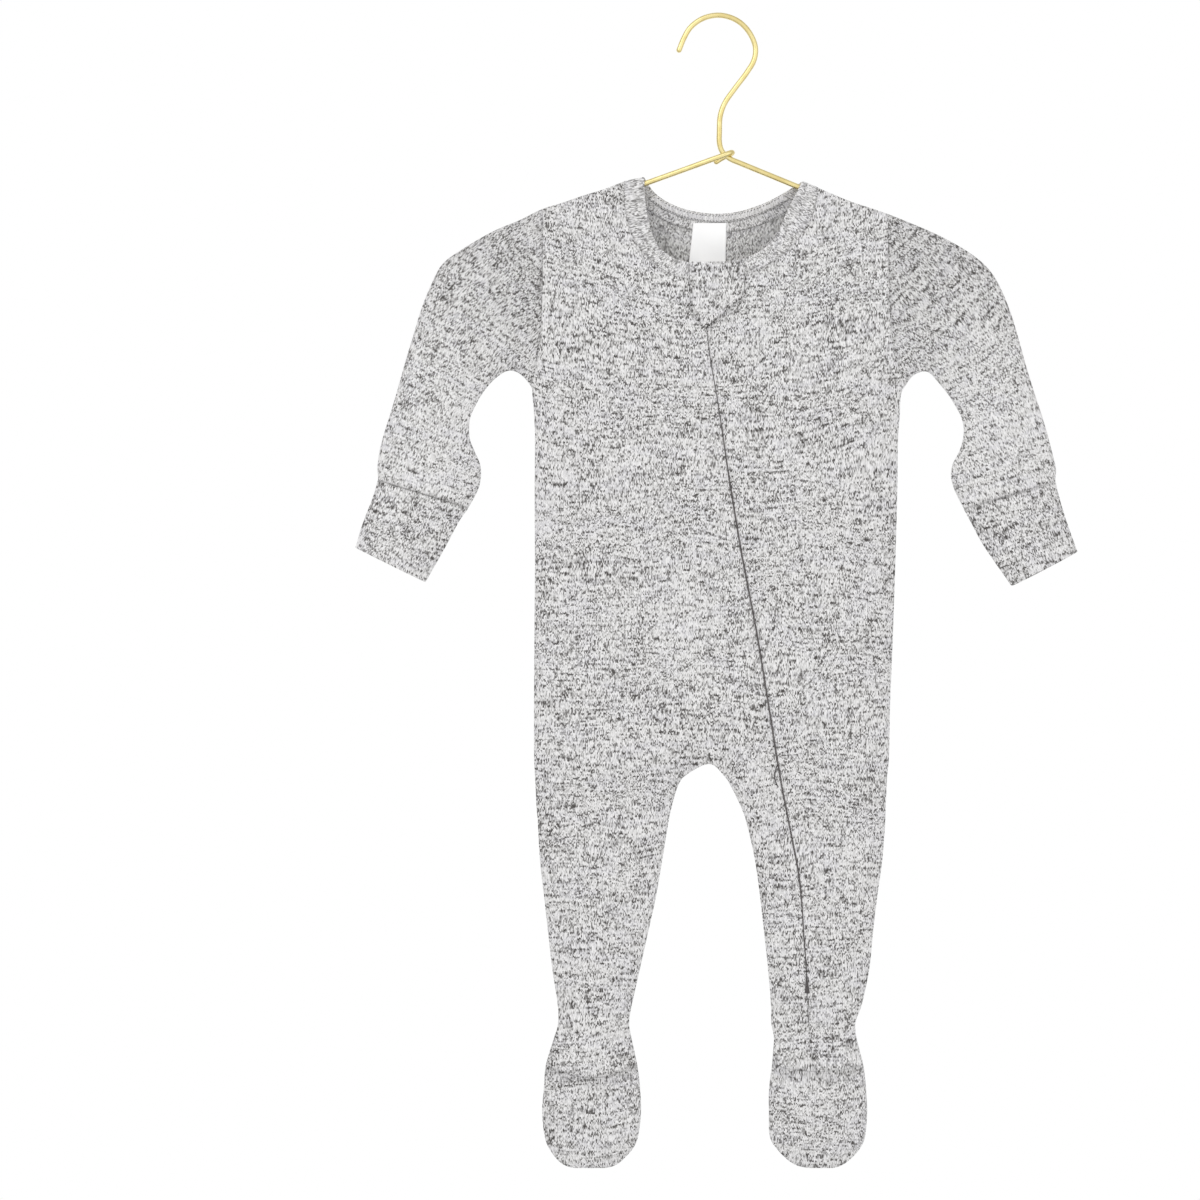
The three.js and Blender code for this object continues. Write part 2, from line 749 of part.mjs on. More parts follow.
function guardFlap() {
  const sheet = new Sheet();
  sheet.add(chinGuard.map((row) => (
    rowBetween(flat(row.left, row.down), flat(row.right, row.down), steps(guardColumns), -1))));
  return sheet.wall((place) => -guardRise(place) - foldedWall, (place) => -guardRise(place));
}

// A strip along the zip's line with a half width for each row.
function alongZip(rows, columns) {
  const sheet = new Sheet();
  return sheet.add(rows.map((row) => {
    const x = zipX(row.down);
    return rowBetween(flat(x - row.half, row.down), flat(x + row.half, row.down), steps(columns), -1);
  }));
}

function zipTape() {
  const half = 12;
  const downs = [...torso.slice(1), ...legs].map((row) => row.down).filter((down) => down < zipEndDown);
  const upper = steps(5).map((share) => mix(zipTopDown + 1, torso[0].down, share));
  const rows = [...upper, ...downs, zipEndDown + 6].map((down) => ({ down, half }));
  const clear = knitWall + seamGap + 0.1;
  return alongZip(rows, 6).wall(clear, clear + tapeWall);
}

function onFronts(rows, thickness) {
  return alongZip(rows, 4).wall(-seamGap - thickness, -seamGap);
}

// The hanger is one round wire along a line through all of its bends.
function armEnd(arm, from, to) {
  return steps(armEndSteps).map((share) => {
    const angle = radians(mix(from, to, share));
    const x = arm.centreX + armEndRadius * Math.cos(angle);
    return new THREE.Vector3(x, 0, arm.centreZ + armEndRadius * Math.sin(angle));
  });
}

function smoothWire(rows, perRow) {
  const points = rows.map((row) => new THREE.Vector3(row.x, row.y, row.z));
  const curve = new THREE.CatmullRomCurve3(points, false, 'centripetal');
  return curve.getPoints((rows.length - 1) * perRow);
}

function hanger() {
  const tilt = Math.atan2(leftArm.centreZ - rightArm.centreZ, rightArm.centreX - leftArm.centreX);
  const under = -90 - (tilt * 180) / Math.PI;
  const line = [
    ...smoothWire(hookWire, 2),
    ...armEnd(rightArm, 90 - rightArm.slope, under),
    ...armEnd(leftArm, under, leftArm.slope - 270),
    ...smoothWire(windingWire, 3),
  ];
  return sweep(line);
}

// Round rings carried along a line without twisting, with rounded ends.
function sweep(line) {
  const direction = (index) => {
    const before = line[Math.max(index - 1, 0)];
    const after = line[Math.min(index + 1, line.length - 1)];
    return after.clone().sub(before).normalize();
  };
  const points = [];
  const faces = [];
  let sideways = new THREE.Vector3(0, 1, 0);
  const addRing = (centre, along, radius) => {
    sideways = sideways.clone().addScaledVector(along, -sideways.dot(along)).normalize();
    const third = new THREE.Vector3().crossVectors(along, sideways);
    for (let side = 0; side < wireSides; side += 1) {
      const angle = (2 * Math.PI * side) / wireSides;
      const point = centre.clone();
      point.addScaledVector(sideways, radius * Math.cos(angle));
      point.addScaledVector(third, radius * Math.sin(angle));
      points.push(point);
    }
  };
  const start = direction(0);
  const end = direction(line.length - 1);
  const roundEnd = [0.9, 0.55];
  const rounded = roundEnd.map((share) => ({ out: share, radius: Math.sqrt(1 - share * share) }));
  for (const ring of rounded) {
    addRing(line[0].clone().addScaledVector(start, -wireRadius * ring.out), start, wireRadius * ring.radius);
  }
  line.forEach((centre, index) => addRing(centre, direction(index), wireRadius));
  for (const ring of rounded.reverse()) {
    addRing(line.at(-1).clone().addScaledVector(end, wireRadius * ring.out), end, wireRadius * ring.radius);
  }
  const ringCount = points.length / wireSides;
  for (let ring = 0; ring < ringCount - 1; ring += 1) {
    for (let side = 0; side < wireSides; side += 1) {
      const a = ring * wireSides + side;
      const b = ring * wireSides + ((side + 1) % wireSides);
      faces.push([a, b, b + wireSides], [a, b + wireSides, a + wireSides]);
    }
  }
  const first = points.push(line[0].clone().addScaledVector(start, -wireRadius)) - 1;
  const last = points.push(line.at(-1).clone().addScaledVector(end, wireRadius)) - 1;
  const lastRing = (ringCount - 1) * wireSides;
  for (let side = 0; side < wireSides; side += 1) {
    const next = (side + 1) % wireSides;
    faces.push([first, next, side], [last, lastRing + side, lastRing + next]);
  }
  return solid(points, faces);
}

const looks = {
  knit: { color: 0xc6c3c6, roughness: 0.95, metalness: 0 },
  knitBand: { color: 0xbfbbbd, roughness: 0.95, metalness: 0 },
  neckTape: { color: 0xd2ced2, roughness: 0.95, metalness: 0 },
  label: { color: 0xf6f5f4, roughness: 0.8, metalness: 0 },
  zipTape: { color: 0x6b6667, roughness: 0.85, metalness: 0 },
  zipMetal: { color: 0x8d8988, roughness: 0.4, metalness: 0.8 },
  zipStop: { color: 0x4a4646, roughness: 0.6, metalness: 0 },
  gold: { color: 0xe6c468, roughness: 0.3, metalness: 0.9 },
};

const pieces = {
  hanger: [hanger(), looks.gold],
  back: [back(), looks.knit],
  front_left: [leftFront(), looks.knit],
  front_right: [rightFront(), looks.knit],
  sleeve_left: [sleeve(-1), looks.knit],
  sleeve_right: [sleeve(1), looks.knit],
  cuff_left: [cuff(-1), looks.knitBand],
  cuff_right: [cuff(1), looks.knitBand],
  foot_top_left: [footHalf(-1, -1, instepRow), looks.knit],
  foot_top_right: [footHalf(1, -1, instepRow), looks.knit],
  sole_left: [footHalf(-1, 1, heelRow), looks.knit],
  sole_right: [footHalf(1, 1, heelRow), looks.knit],
  neck_band: [neckBand(), looks.knitBand],
  neck_tape: [neckTape(), looks.neckTape],
  chin_guard: [guardFlap(), looks.knit],
  zip_tape: [zipTape(), looks.zipTape],
  zip_slider: [onFronts(slider, sliderWall), looks.zipMetal],
  zip_pull: [onFronts(pullTab, pullWall), looks.zipMetal],
  zip_stop: [onFronts(stop, stopWall), looks.zipStop],
  label: [labelPatch(), looks.label],
};

const garment = new THREE.Group();
garment.name = 'footed_sleeper_on_hanger';
for (const [name, [geometry, look]] of Object.entries(pieces)) {
  const mesh = new THREE.Mesh(geometry, new THREE.MeshStandardMaterial(look));
  mesh.name = name;
  garment.add(mesh);
}

export default garment;
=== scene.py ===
import math

import bpy
import numpy as np
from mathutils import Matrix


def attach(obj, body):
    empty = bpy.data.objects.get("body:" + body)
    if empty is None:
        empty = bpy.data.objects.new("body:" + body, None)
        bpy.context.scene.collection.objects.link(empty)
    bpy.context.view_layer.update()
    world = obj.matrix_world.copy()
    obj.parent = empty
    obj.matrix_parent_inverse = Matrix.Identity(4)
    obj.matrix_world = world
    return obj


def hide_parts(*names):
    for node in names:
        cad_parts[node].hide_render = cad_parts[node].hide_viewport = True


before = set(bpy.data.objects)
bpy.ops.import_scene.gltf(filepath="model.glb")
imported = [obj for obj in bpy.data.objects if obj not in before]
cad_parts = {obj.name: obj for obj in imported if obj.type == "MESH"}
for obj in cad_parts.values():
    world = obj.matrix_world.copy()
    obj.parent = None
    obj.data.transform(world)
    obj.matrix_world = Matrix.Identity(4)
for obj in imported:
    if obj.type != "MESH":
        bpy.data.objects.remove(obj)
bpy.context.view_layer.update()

# Shapes are worked out in millimetres and go into the meshes in metres. X is to the viewer's right, Z is up,
# the front faces -Y, and "down" is a distance below the inside top of the hook.
mm = 0.001

# The empty garment is a little inflated: its depth grows inwards from its outline.
body = {
    "depth": 13,
    "reach": 115,  # how far in from the outline the depth still grows
    "roundness": 3,
    "blend": 4,
    "cloth": 1.2,  # thickness of one layer
    "seamGap": 0.1,  # between two edges sewn together
    "clear": 0.3,  # between two layers that lie on each other
    "reliefFade": (2, 16),  # from and to what distance to the outline the folds and the seams' dips appear
    "seamFade": (0.3, 4),
    "onEdge": 0.12,  # nearer than this a point counts as on the outline
    "rise": 0.001,  # how much the knit's rows lift beside the middle of the chest, per square millimetre
    "riseFade": (190, 340),
}
samplesPerRow = 6
fine = 5  # columns here for each column of the solid

# x, down: from the neck's free edge over its seam to the armhole.
leftShoulder = np.array([(-48.5, 102), (-61.4, 104.8), (-74, 109.6), (-88.5, 114), (-101, 118.4)])
rightShoulder = np.array([(52.5, 104.6), (62.7, 108.8), (74, 113.6), (85, 118), (96, 121.6)])

# Outer edge x and down, inner edge x and down, from the armhole to the cuff's end.
leftSleeve = np.array([
    (-113.3, 122.2, -121, 235.5), (-128.6, 129.6, -128.6, 227.4), (-146, 137, -136.3, 226),
    (-165.5, 148.5, -144.6, 231.5), (-177.5, 157.5, -151.5, 239.5), (-184.5, 170, -156.2, 247.5),
    (-191, 186, -159.8, 255.5), (-196.5, 204, -160.6, 262.5), (-201.5, 220.5, -160, 270),
    (-206.7, 239, -156.8, 278), (-211.3, 254.5, -153.6, 285.5), (-215, 266, -153, 292.5),
    (-217.8, 277.5, -154.2, 300), (-219.2, 288, -157.4, 307), (-218.9, 296, -161.3, 313.6),
    (-222.5, 308.5, -167.5, 322.5), (-228.5, 324, -176.3, 339), (-233, 339.2, -188.8, 361),
])
rightSleeve = np.array([
    (106.9, 125.4, 118.4, 235.5), (121.6, 131.2, 124.2, 228.4), (139.5, 139, 132.6, 226.4),
    (158, 149.2, 139.5, 233), (170.2, 159, 146.6, 241.8), (178, 170, 151, 249),
    (185, 186, 154.2, 255), (190.5, 203.5, 156, 262.5), (195.2, 220.5, 155.4, 270),
    (201, 239.5, 153, 277.8), (206, 254.7, 149, 285.5), (209.5, 266.5, 147.8, 293),
    (212.5, 278, 149.6, 300.8), (215, 289, 152.4, 307), (214.6, 297, 156.2, 314.2),
    (217.8, 310.4, 160.8, 322.6), (222.7, 325.8, 169.2, 338), (228.5, 341.8, 186.9, 363.5),
])
cuffSeamRing = 14
cuffEndRing = 17

# down, left, right: the body's two sides from the underarm to just above the crotch.
torso = np.array([
    (235.5, -121, 118.4), (242, -120, 115.6), (254.5, -119, 115), (270, -118.4, 113.9),
    (308, -118.6, 113.3), (354, -118.4, 112), (400, -118.8, 110.4), (439, -119, 108.8),
    (459, -119, 108.4), (469.5, -119, 108.2), (474.5, -118.9, 108),
])

# down, left outer, left inner, right inner, right outer: both legs from the crotch to the tip of the toes.
legs = np.array([
    (477.4, -118.8, -7, -7, 107.8), (485, -118.4, -22.4, 2.6, 107), (493, -118, -27.5, 7.7, 106.6),
    (505, -117.4, -31, 13.5, 106), (516, -116.5, -33.3, 17.3, 105.6), (539, -115.2, -37, 22.4, 103.8),
    (562, -112.6, -41, 25.6, 100.6), (585, -110, -46, 28.2, 97.9), (608, -107.4, -51.2, 30.7, 95.6),
    (631, -103.9, -56.3, 32.6, 90.8), (643, -103.6, -58.2, 32.8, 86.6), (654, -106.6, -56.4, 34.6, 87.6),
    (670, -111.4, -53, 33.3, 91.6), (685, -112.7, -51.2, 31.4, 93.4), (700, -113.8, -50.6, 31.3, 94.1),
    (715.5, -112.2, -52.4, 31.8, 92.8), (723.5, -109.3, -55.8, 36.2, 89.5), (731, -103.7, -62.6, 43.6, 82.6),
    (734.6, -98.5, -68, 50, 77), (736, -92.8, -73.6, 56.4, 71.8),
])
heelRow = 11
instepRow = 12
toeRow = len(legs) - 1

# down, x: the zip from the neck seam to its stop, and the seam that goes on from there to the instep.
zipLine = np.array([
    (157, -10.9), (168.6, -10.9), (198.4, -9), (216, -7), (244.5, -2.2), (293, 5.1), (331, 11.2),
    (398, 23.7), (449, 32), (488, 38.4), (525, 45.6), (545, 49.4), (587, 53.2), (614, 55),
    (635, 55.6), (654, 57.6), (672, 59.5),
])

# Seam x and down, free edge x and down.
leftFrontNeck = np.array([
    (-61.4, 104.8, -48.5, 102), (-61.2, 119.5, -47.8, 118.5), (-56.6, 139.5, -44.4, 136.5),
    (-49.3, 151.5, -38.8, 147.5), (-40, 160.4, -32, 153.8), (-29.5, 166.2, -24.6, 156.6),
    (-19.5, 168.2, -17.5, 157.8), (-11.55, 168.6, -11.55, 158.2),
])
rightFrontNeck = np.array([
    (62.7, 108.8, 52.5, 104.6), (61.2, 119.5, 48, 113.5), (55.8, 133, 42.4, 124.5),
    (46, 146.6, 36, 139), (34.6, 156.4, 27.6, 148.6), (20.5, 163.6, 16.6, 154.2),
    (5.5, 167.6, 4.2, 157), (-10.25, 168.6, -10.25, 158.2),
])
backNeck = np.array([
    (-61.4, 104.8, -48.5, 102), (-54.6, 115.2, -42.6, 110.2), (-44.2, 123.8, -35.2, 115.8),
    (-30.8, 131, -25.4, 120.2), (-16.6, 135, -14, 123), (-1.9, 136.3, -1.9, 124.2),
    (13.4, 135, 10.8, 123), (27.6, 131, 22.4, 119.8), (41, 124.6, 33, 115.6),
    (53.4, 116.6, 43, 110.2), (62.7, 108.8, 52.5, 104.6),
])

# Soft folds, the same as in the solids: x, down, turn in degrees, half lengths along and across, how far the
# cloth stands out there, and the side it is on (-1 front, 1 back).
folds = np.array([
    (-104, 262, 38, 26, 7, 1.1, -1), (99, 266, -40, 24, 7, 1, -1), (-96, 285, 33, 30, 9, -0.9, -1),
    (-150, 200, 64, 34, 8, 0.9, -1), (146, 196, -66, 30, 8, 0.8, -1), (-26, 462, 30, 26, 7, 1, -1),
    (14, 466, -28, 24, 6, 0.9, -1), (-72, 634, 86, 22, 4.5, 1.2, -1), (-89, 630, 94, 18, 4, -1, -1),
    (66, 638, 92, 20, 4.5, 1.1, -1), (-74, 634, 88, 24, 5, 1.2, 1), (72, 632, 91, 22, 5, 1.1, 1),
    (-58, 330, 80, 70, 16, 1.3, 1), (46, 360, 97, 80, 14, -1.2, 1), (-100, 262, 140, 28, 8, 1.1, 1),
    (98, 264, 42, 26, 8, 1, 1),
])

# Creases that only show close to: the same columns, and how far the crease bends aside over its half length.
creases = {
    "front": [
        (-128, 214, 58, 16, 2.6, -0.55, 2), (-136, 208, 66, 20, 3, 0.45, -2),
        (-112, 248, 30, 14, 2.2, -0.5, 1), (124, 216, -60, 15, 2.6, -0.5, -2),
        (132, 206, -68, 19, 3, 0.4, 2), (108, 250, -32, 13, 2.2, -0.45, -1),
        (-187, 276, 24, 17, 2.4, -0.6, 1.5), (-182, 268, 30, 14, 2, 0.4, 1),
        (-176, 292, 12, 15, 2.2, -0.45, -1), (181, 275, -26, 16, 2.4, -0.55, -1.5),
        (176, 266, -30, 13, 2, 0.4, -1), (172, 293, -12, 14, 2.2, -0.4, 1),
        (-40, 478, 44, 18, 2.4, -0.5, 2), (-20, 452, 22, 20, 3, -0.4, -1),
        (22, 476, -42, 15, 2.4, -0.5, -2), (4, 448, -18, 18, 3, -0.35, 1),
        (-84, 640, 78, 13, 1.7, -0.55, 1), (-78, 628, 96, 15, 1.8, 0.4, -1),
        (-66, 646, 70, 11, 1.6, -0.5, 1), (-95, 644, 104, 10, 1.5, 0.35, 0),
        (52, 645, 84, 14, 1.7, -0.5, 1), (60, 630, 98, 15, 1.8, 0.4, -1), (74, 646, 104, 12, 1.6, -0.5, 1),
        (44, 640, 76, 10, 1.5, 0.3, 0), (-26, 238, 84, 22, 5, 0.4, 3), (24, 262, 98, 26, 5, -0.35, -3),
        (-70, 372, 8, 34, 6, 0.3, 3), (58, 402, -8, 32, 6, -0.3, -3), (-60, 560, 70, 30, 5, 0.35, 3),
        (76, 548, 102, 28, 5, -0.35, -3), (50.2, 642, 91, 5, 0.8, -0.7, 0.4),
        (63, 650, 80, 9, 1.3, -0.6, -1),
    ],
    "back": [
        (-40, 170, 60, 24, 4, 0.5, 3), (38, 172, -60, 24, 4, 0.5, -3), (0, 158, 4, 30, 5, -0.45, 4),
        (-128, 212, 58, 17, 2.8, -0.5, 2), (124, 214, -60, 16, 2.8, -0.5, -2),
        (-60, 250, 74, 40, 7, 0.5, 4), (64, 262, 104, 44, 7, 0.45, -4), (-24, 300, 92, 46, 6, -0.4, 3),
        (20, 420, 86, 40, 6, 0.4, -3), (-70, 452, 20, 28, 4, -0.5, 4), (60, 456, -22, 28, 4, -0.5, -4),
        (-40, 480, 46, 17, 2.6, -0.5, 2), (24, 478, -44, 16, 2.6, -0.5, -2),
        (-84, 636, 80, 14, 1.8, -0.5, 1), (-66, 640, 98, 13, 1.7, 0.4, -1),
        (54, 638, 84, 14, 1.8, -0.5, 1), (80, 636, 100, 12, 1.7, 0.4, -1), (-74, 566, 76, 34, 6, 0.4, 4),
        (66, 560, 98, 32, 6, -0.4, -4), (-187, 274, 24, 17, 2.4, -0.5, 1.5),
        (182, 274, -26, 16, 2.4, -0.5, -1.5),
    ],
}


# Shares from 0 to 1, evenly or closer together at both ends, at the first or at the last. With t evenly from
# 0 to 1 these are (1 - cos(pi t)) / 2, 1 - cos(pi t / 2) and sin(pi t / 2).
def steps(count):
    return np.linspace(0, 1, count + 1)


def closeAtBoth(count):
    return (1 - np.cos(np.pi * steps(count))) / 2


def closeAtFirst(count):
    return 1 - np.cos(np.pi / 2 * steps(count))


def closeAtLast(count):
    return np.sin(np.pi / 2 * steps(count))


# a and b in proportion: a at share 0, b at share 1.
def mix(a, b, share):
    return a + (b - a) * share


# 0 under low, 1 over high, and 3 t^2 - 2 t^3 between them.
def smoothStep(value, low, high):
    share = np.clip((value - low) / (high - low), 0, 1)
    return share * share * (3 - 2 * share)


# x and a distance down, as x and z.
def flatPoints(x, down):
    return np.stack([x, -down], -1)


# Catmull-Rom line: each span is a cubic through its two points, whose slopes are half the step between
# their neighbours.
def alongSpline(points, row):
    last = len(points) - 1
    row = np.clip(np.asarray(row, float), 0, last)
    span = np.minimum(row.astype(int), last - 1)
    t = (row - span)[..., None]
    a, b, c, d = (points[np.clip(span + k, 0, last)] for k in (-1, 0, 1, 2))
    return b + 0.5 * t * ((c - a) + t * ((2 * a - 5 * b + 4 * c - d) + t * (3 * (b - c) + d - a)))


# A line's points, with five more between each two.
def sampled(points):
    return alongSpline(points, np.arange((len(points) - 1) * samplesPerRow + 1) / samplesPerRow)


# Two columns of a table, x and down, as points.
def columns(table, *pair):
    return flatPoints(*table[:, list(pair)].T)


# The outline as lines of points: over both sleeves, down both sides, and up and down inside the legs.
leftTop = np.vstack([columns(leftShoulder, 0, 1), columns(leftSleeve, 0, 1)])
rightTop = np.vstack([columns(rightShoulder, 0, 1), columns(rightSleeve, 0, 1)])[::-1]
leftSide = np.vstack([columns(leftSleeve[::-1], 2, 3), columns(torso[1:], 1, 0), columns(legs, 1, 0)])
rightSide = np.vstack([columns(rightSleeve[::-1], 2, 3), columns(torso[1:], 2, 0), columns(legs, 4, 0)])[::-1]
insideLegs = np.vstack([columns(legs[::-1], 2, 0), columns(legs[1:], 3, 0)])
leftToe = flatPoints(legs[toeRow, [1, 2]], legs[toeRow, [0, 0]])
rightToe = flatPoints(legs[toeRow, [3, 4]], legs[toeRow, [0, 0]])
outlines = [sampled(line) for line in (leftTop, rightTop, leftSide, rightSide, insideLegs)]
outlines += [leftToe, rightToe]


# Points of the outline by rows of the tables: on a sleeve's upper edge, under it, and down a side.
def topOf(side, ring):
    if side < 0:
        return alongSpline(leftTop, len(leftShoulder) + ring)
    return alongSpline(rightTop, len(rightTop) - 1 - len(rightShoulder) - ring)


def underOf(side, ring):
    return sideOf(side, -ring)


def sideOf(side, row):
    if side < 0:
        return alongSpline(leftSide, cuffEndRing + row)
    return alongSpline(rightSide, len(rightSide) - 1 - cuffEndRing - row)


def outsideLegOf(side, row):
    return sideOf(side, len(torso) + row)


def insideLegOf(side, row):
    return alongSpline(insideLegs, toeRow + side * row)


# The zip's x at a distance down: a cubic between its table's rows, with each row's slope from its neighbours.
def zipX(down):
    downs, xs = zipLine.T
    slopes = np.gradient(xs, downs)
    span = np.clip(np.searchsorted(downs, down) - 1, 0, len(downs) - 2)
    width = downs[span + 1] - downs[span]
    t = np.clip((down - downs[span]) / width, 0, 1)
    ends = xs[span] * (1 + 2 * t) * (1 - t) ** 2 + xs[span + 1] * t * t * (3 - 2 * t)
    return ends + width * (slopes[span] * t * (1 - t) ** 2 - slopes[span + 1] * t * t * (1 - t))


zipper = {
    "gap": 1.15,
    "top": 168.6,
    "end": 620,
    "upper": (0.4, 200, 330),  # share of the gap at the top, and where it is whole
    "lower": (0.6, 540, 600),
    "runOut": 8,
    "seamBelow": (624, 672),
    "tapeStart": 0.35,
    "tapeHalf": 12,
    "tapeThick": 1,
    "tapeClear": 0.1,
    "toothStep": 1.25,  # between two teeth of one side
    "toothReach": 0.85,
    "toothThick": 0.3,
    "toothAside": 0.45,
    "sunk": 1.05,  # the coil's middle under the cloth's outer face
}


# A front's edge lies half a gap beside the zip's line. The gap is narrower towards both ends of the zip, and
# a seam's below it.
def zipEdge(down, side):
    upper, lower, end = zipper["upper"], zipper["lower"], zipper["end"]
    gap = zipper["gap"] * mix(upper[0], 1, smoothStep(down, *upper[1:]))
    gap = gap * mix(1, lower[0], smoothStep(down, *lower[1:]))
    gap = mix(gap, body["seamGap"], smoothStep(down, end, end + zipper["runOut"]))
    return flatPoints(zipX(down) + side * gap / 2, down)


# Distance of each point to a line of short straight pieces, and the direction in which it grows.
def nearestOn(line, x, z):
    start, along = line[:-1], line[1:] - line[:-1]
    square = (along ** 2).sum(1)
    distance, awayX, awayZ = (np.empty(len(x)) for part in range(3))
    chunk = 20000
    for first in range(0, len(x), chunk):
        part = slice(first, first + chunk)
        offX = x[part, None] - start[:, 0]
        offZ = z[part, None] - start[:, 1]
        share = np.clip((offX * along[:, 0] + offZ * along[:, 1]) / square, 0, 1)
        offX -= share * along[:, 0]
        offZ -= share * along[:, 1]
        best = np.argmin(offX ** 2 + offZ ** 2, axis=1)
        rows = np.arange(len(best))
        offX, offZ = offX[rows, best], offZ[rows, best]
        length = np.hypot(offX, offZ)
        onEdge = length <= body["onEdge"]
        across = along[best] / np.sqrt(square[best])[:, None]
        distance[part] = np.where(onEdge, 0, length)
        awayX[part] = np.where(onEdge, -across[:, 1], offX / np.maximum(length, 1e-9))
        awayZ[part] = np.where(onEdge, across[:, 0], offZ / np.maximum(length, 1e-9))
    return distance, awayX, awayZ


# A fold is a bell along and across its line; a bent crease's line is shifted aside by a parabola.
def bells(rows, x, z):
    height = np.zeros(len(x))
    for foldX, down, turn, along, across, rise, bend in rows:
        cos, sin = math.cos(math.radians(turn)), math.sin(math.radians(turn))
        offX, offZ = x - foldX, z + down
        s = (offX * cos + offZ * sin) / along
        t = (offZ * cos - offX * sin - bend * s * s) / across
        height += rise * np.exp(-s * s - t * t)
    return height


wave = {"height": 0.16, "count": 14, "shortest": 16, "longest": 60, "seed": 7}
waveDraws = np.random.default_rng(wave["seed"]).random((wave["count"], 3))


# Slight unevenness of the cloth: a sum of sine waves in drawn directions.
def uneven(x, z):
    height = np.zeros(len(x))
    for turn, size, phase in waveDraws:
        length = mix(wave["shortest"], wave["longest"], size)
        angle = np.pi * turn
        height += np.sin((x * np.cos(angle) + z * np.sin(angle)) * 2 * np.pi / length + 6.28 * phase) * length
    return height * wave["height"] / wave["longest"]


# How far the outer face stands out at a point: unevenness, folds and creases of its side added up.
def relief(x, z, side):
    height = uneven(x, z)
    for sign, name in ((-1, "front"), (1, "back")):
        here = side * sign > 0
        rows = [tuple(row[:6]) + (0,) for row in folds if row[6] == sign] + creases[name]
        height[here] += bells(rows, x[here], z[here])
    return height


# The ridge beside a seam is a share of its groove.
seam = {"width": 1.0, "ridge": 0.45, "ridgeAt": 2.8, "ridgeWidth": 1.5, "shadeReach": 4}


# Cloth dips at a seam and swells a little over the allowance turned in beside it.
def seamRelief(lines, x, z):
    height = np.zeros(len(x))
    for line, groove in lines:
        distance = nearestOn(line, x, z)[0]
        height -= groove * np.exp(-((distance / seam["width"]) ** 2))
        height += groove * seam["ridge"] * np.exp(-(((distance - seam["ridgeAt"]) / seam["ridgeWidth"]) ** 2))
    return height


# The outer face: depth is D * sqrt(1 - (1 - d / reach) ^ roundness) at a smooth distance d from the outline.
# The faces' direction comes from that formula's slope and from small differences of the relief.
def clothSurface(net, least, seamLines=()):
    x, z, side = (net[..., k].ravel() for k in range(3))
    near = [nearestOn(line, x, z) for line in outlines]
    distances = np.maximum([one[0] for one in near], 0.0005)
    closest = np.min([one[0] for one in near], axis=0)
    blend = body["blend"]
    distance = (distances ** -blend).sum(0) ** (-1 / blend)
    inner = 1 - np.minimum(distance, body["reach"]) / body["reach"]
    rise = np.maximum(1 - inner ** body["roundness"], 1e-6)
    lift = body["depth"] * body["roundness"] * inner ** (body["roundness"] - 1)
    steep = lift / (2 * body["reach"] * np.sqrt(rise))
    shares = (distance / distances) ** (blend + 1)
    slopeX = (steep * shares * [one[1] for one in near]).sum(0)
    slopeZ = (steep * shares * [one[2] for one in near]).sum(0)
    fade = smoothStep(closest, *body["reliefFade"])
    seamFade = smoothStep(closest, *body["seamFade"])

    def height(atX, atZ):
        return fade * relief(atX, atZ, side) + seamFade * seamRelief(seamLines, atX, atZ)

    nudge = 0.4
    depth = np.where(closest == 0, 0, body["depth"] * np.sqrt(rise) + height(x, z))
    slopeX += (height(x + nudge, z) - height(x - nudge, z)) / (2 * nudge)
    slopeZ += (height(x, z + nudge) - height(x, z - nudge)) / (2 * nudge)
    outwards = np.stack([-slopeX, side, -slopeZ], 1)
    outwards /= np.linalg.norm(outwards, axis=1)[:, None]
    base = np.stack([x, side * np.maximum(depth, least), z], 1)
    return base.reshape(*net.shape[:2], 3), outwards.reshape(*net.shape[:2], 3)


# A net is rows and columns of x, z, side, u, v. Its wall lies between two distances under the outer face.
def clothPatch(net, outside, inside, least=body["seamGap"] / 2, seamLines=(), shift=None):
    base, outwards = clothSurface(net, least, seamLines)
    if shift is not None:
        base[..., 0] += shift
    outside, inside = (np.broadcast_to(depth, net.shape[:2])[..., None] for depth in (outside, inside))
    return base - outwards * outside, base - outwards * inside, net[..., 3:5]


# Whether a shell is inside out: then the sum of a . (b x c) over its triangles is below 0.
def insideOut(points, triangles):
    corners = points[triangles]
    return np.einsum("ij,ij->", corners[:, 0], np.cross(corners[:, 1], corners[:, 2])) < 0


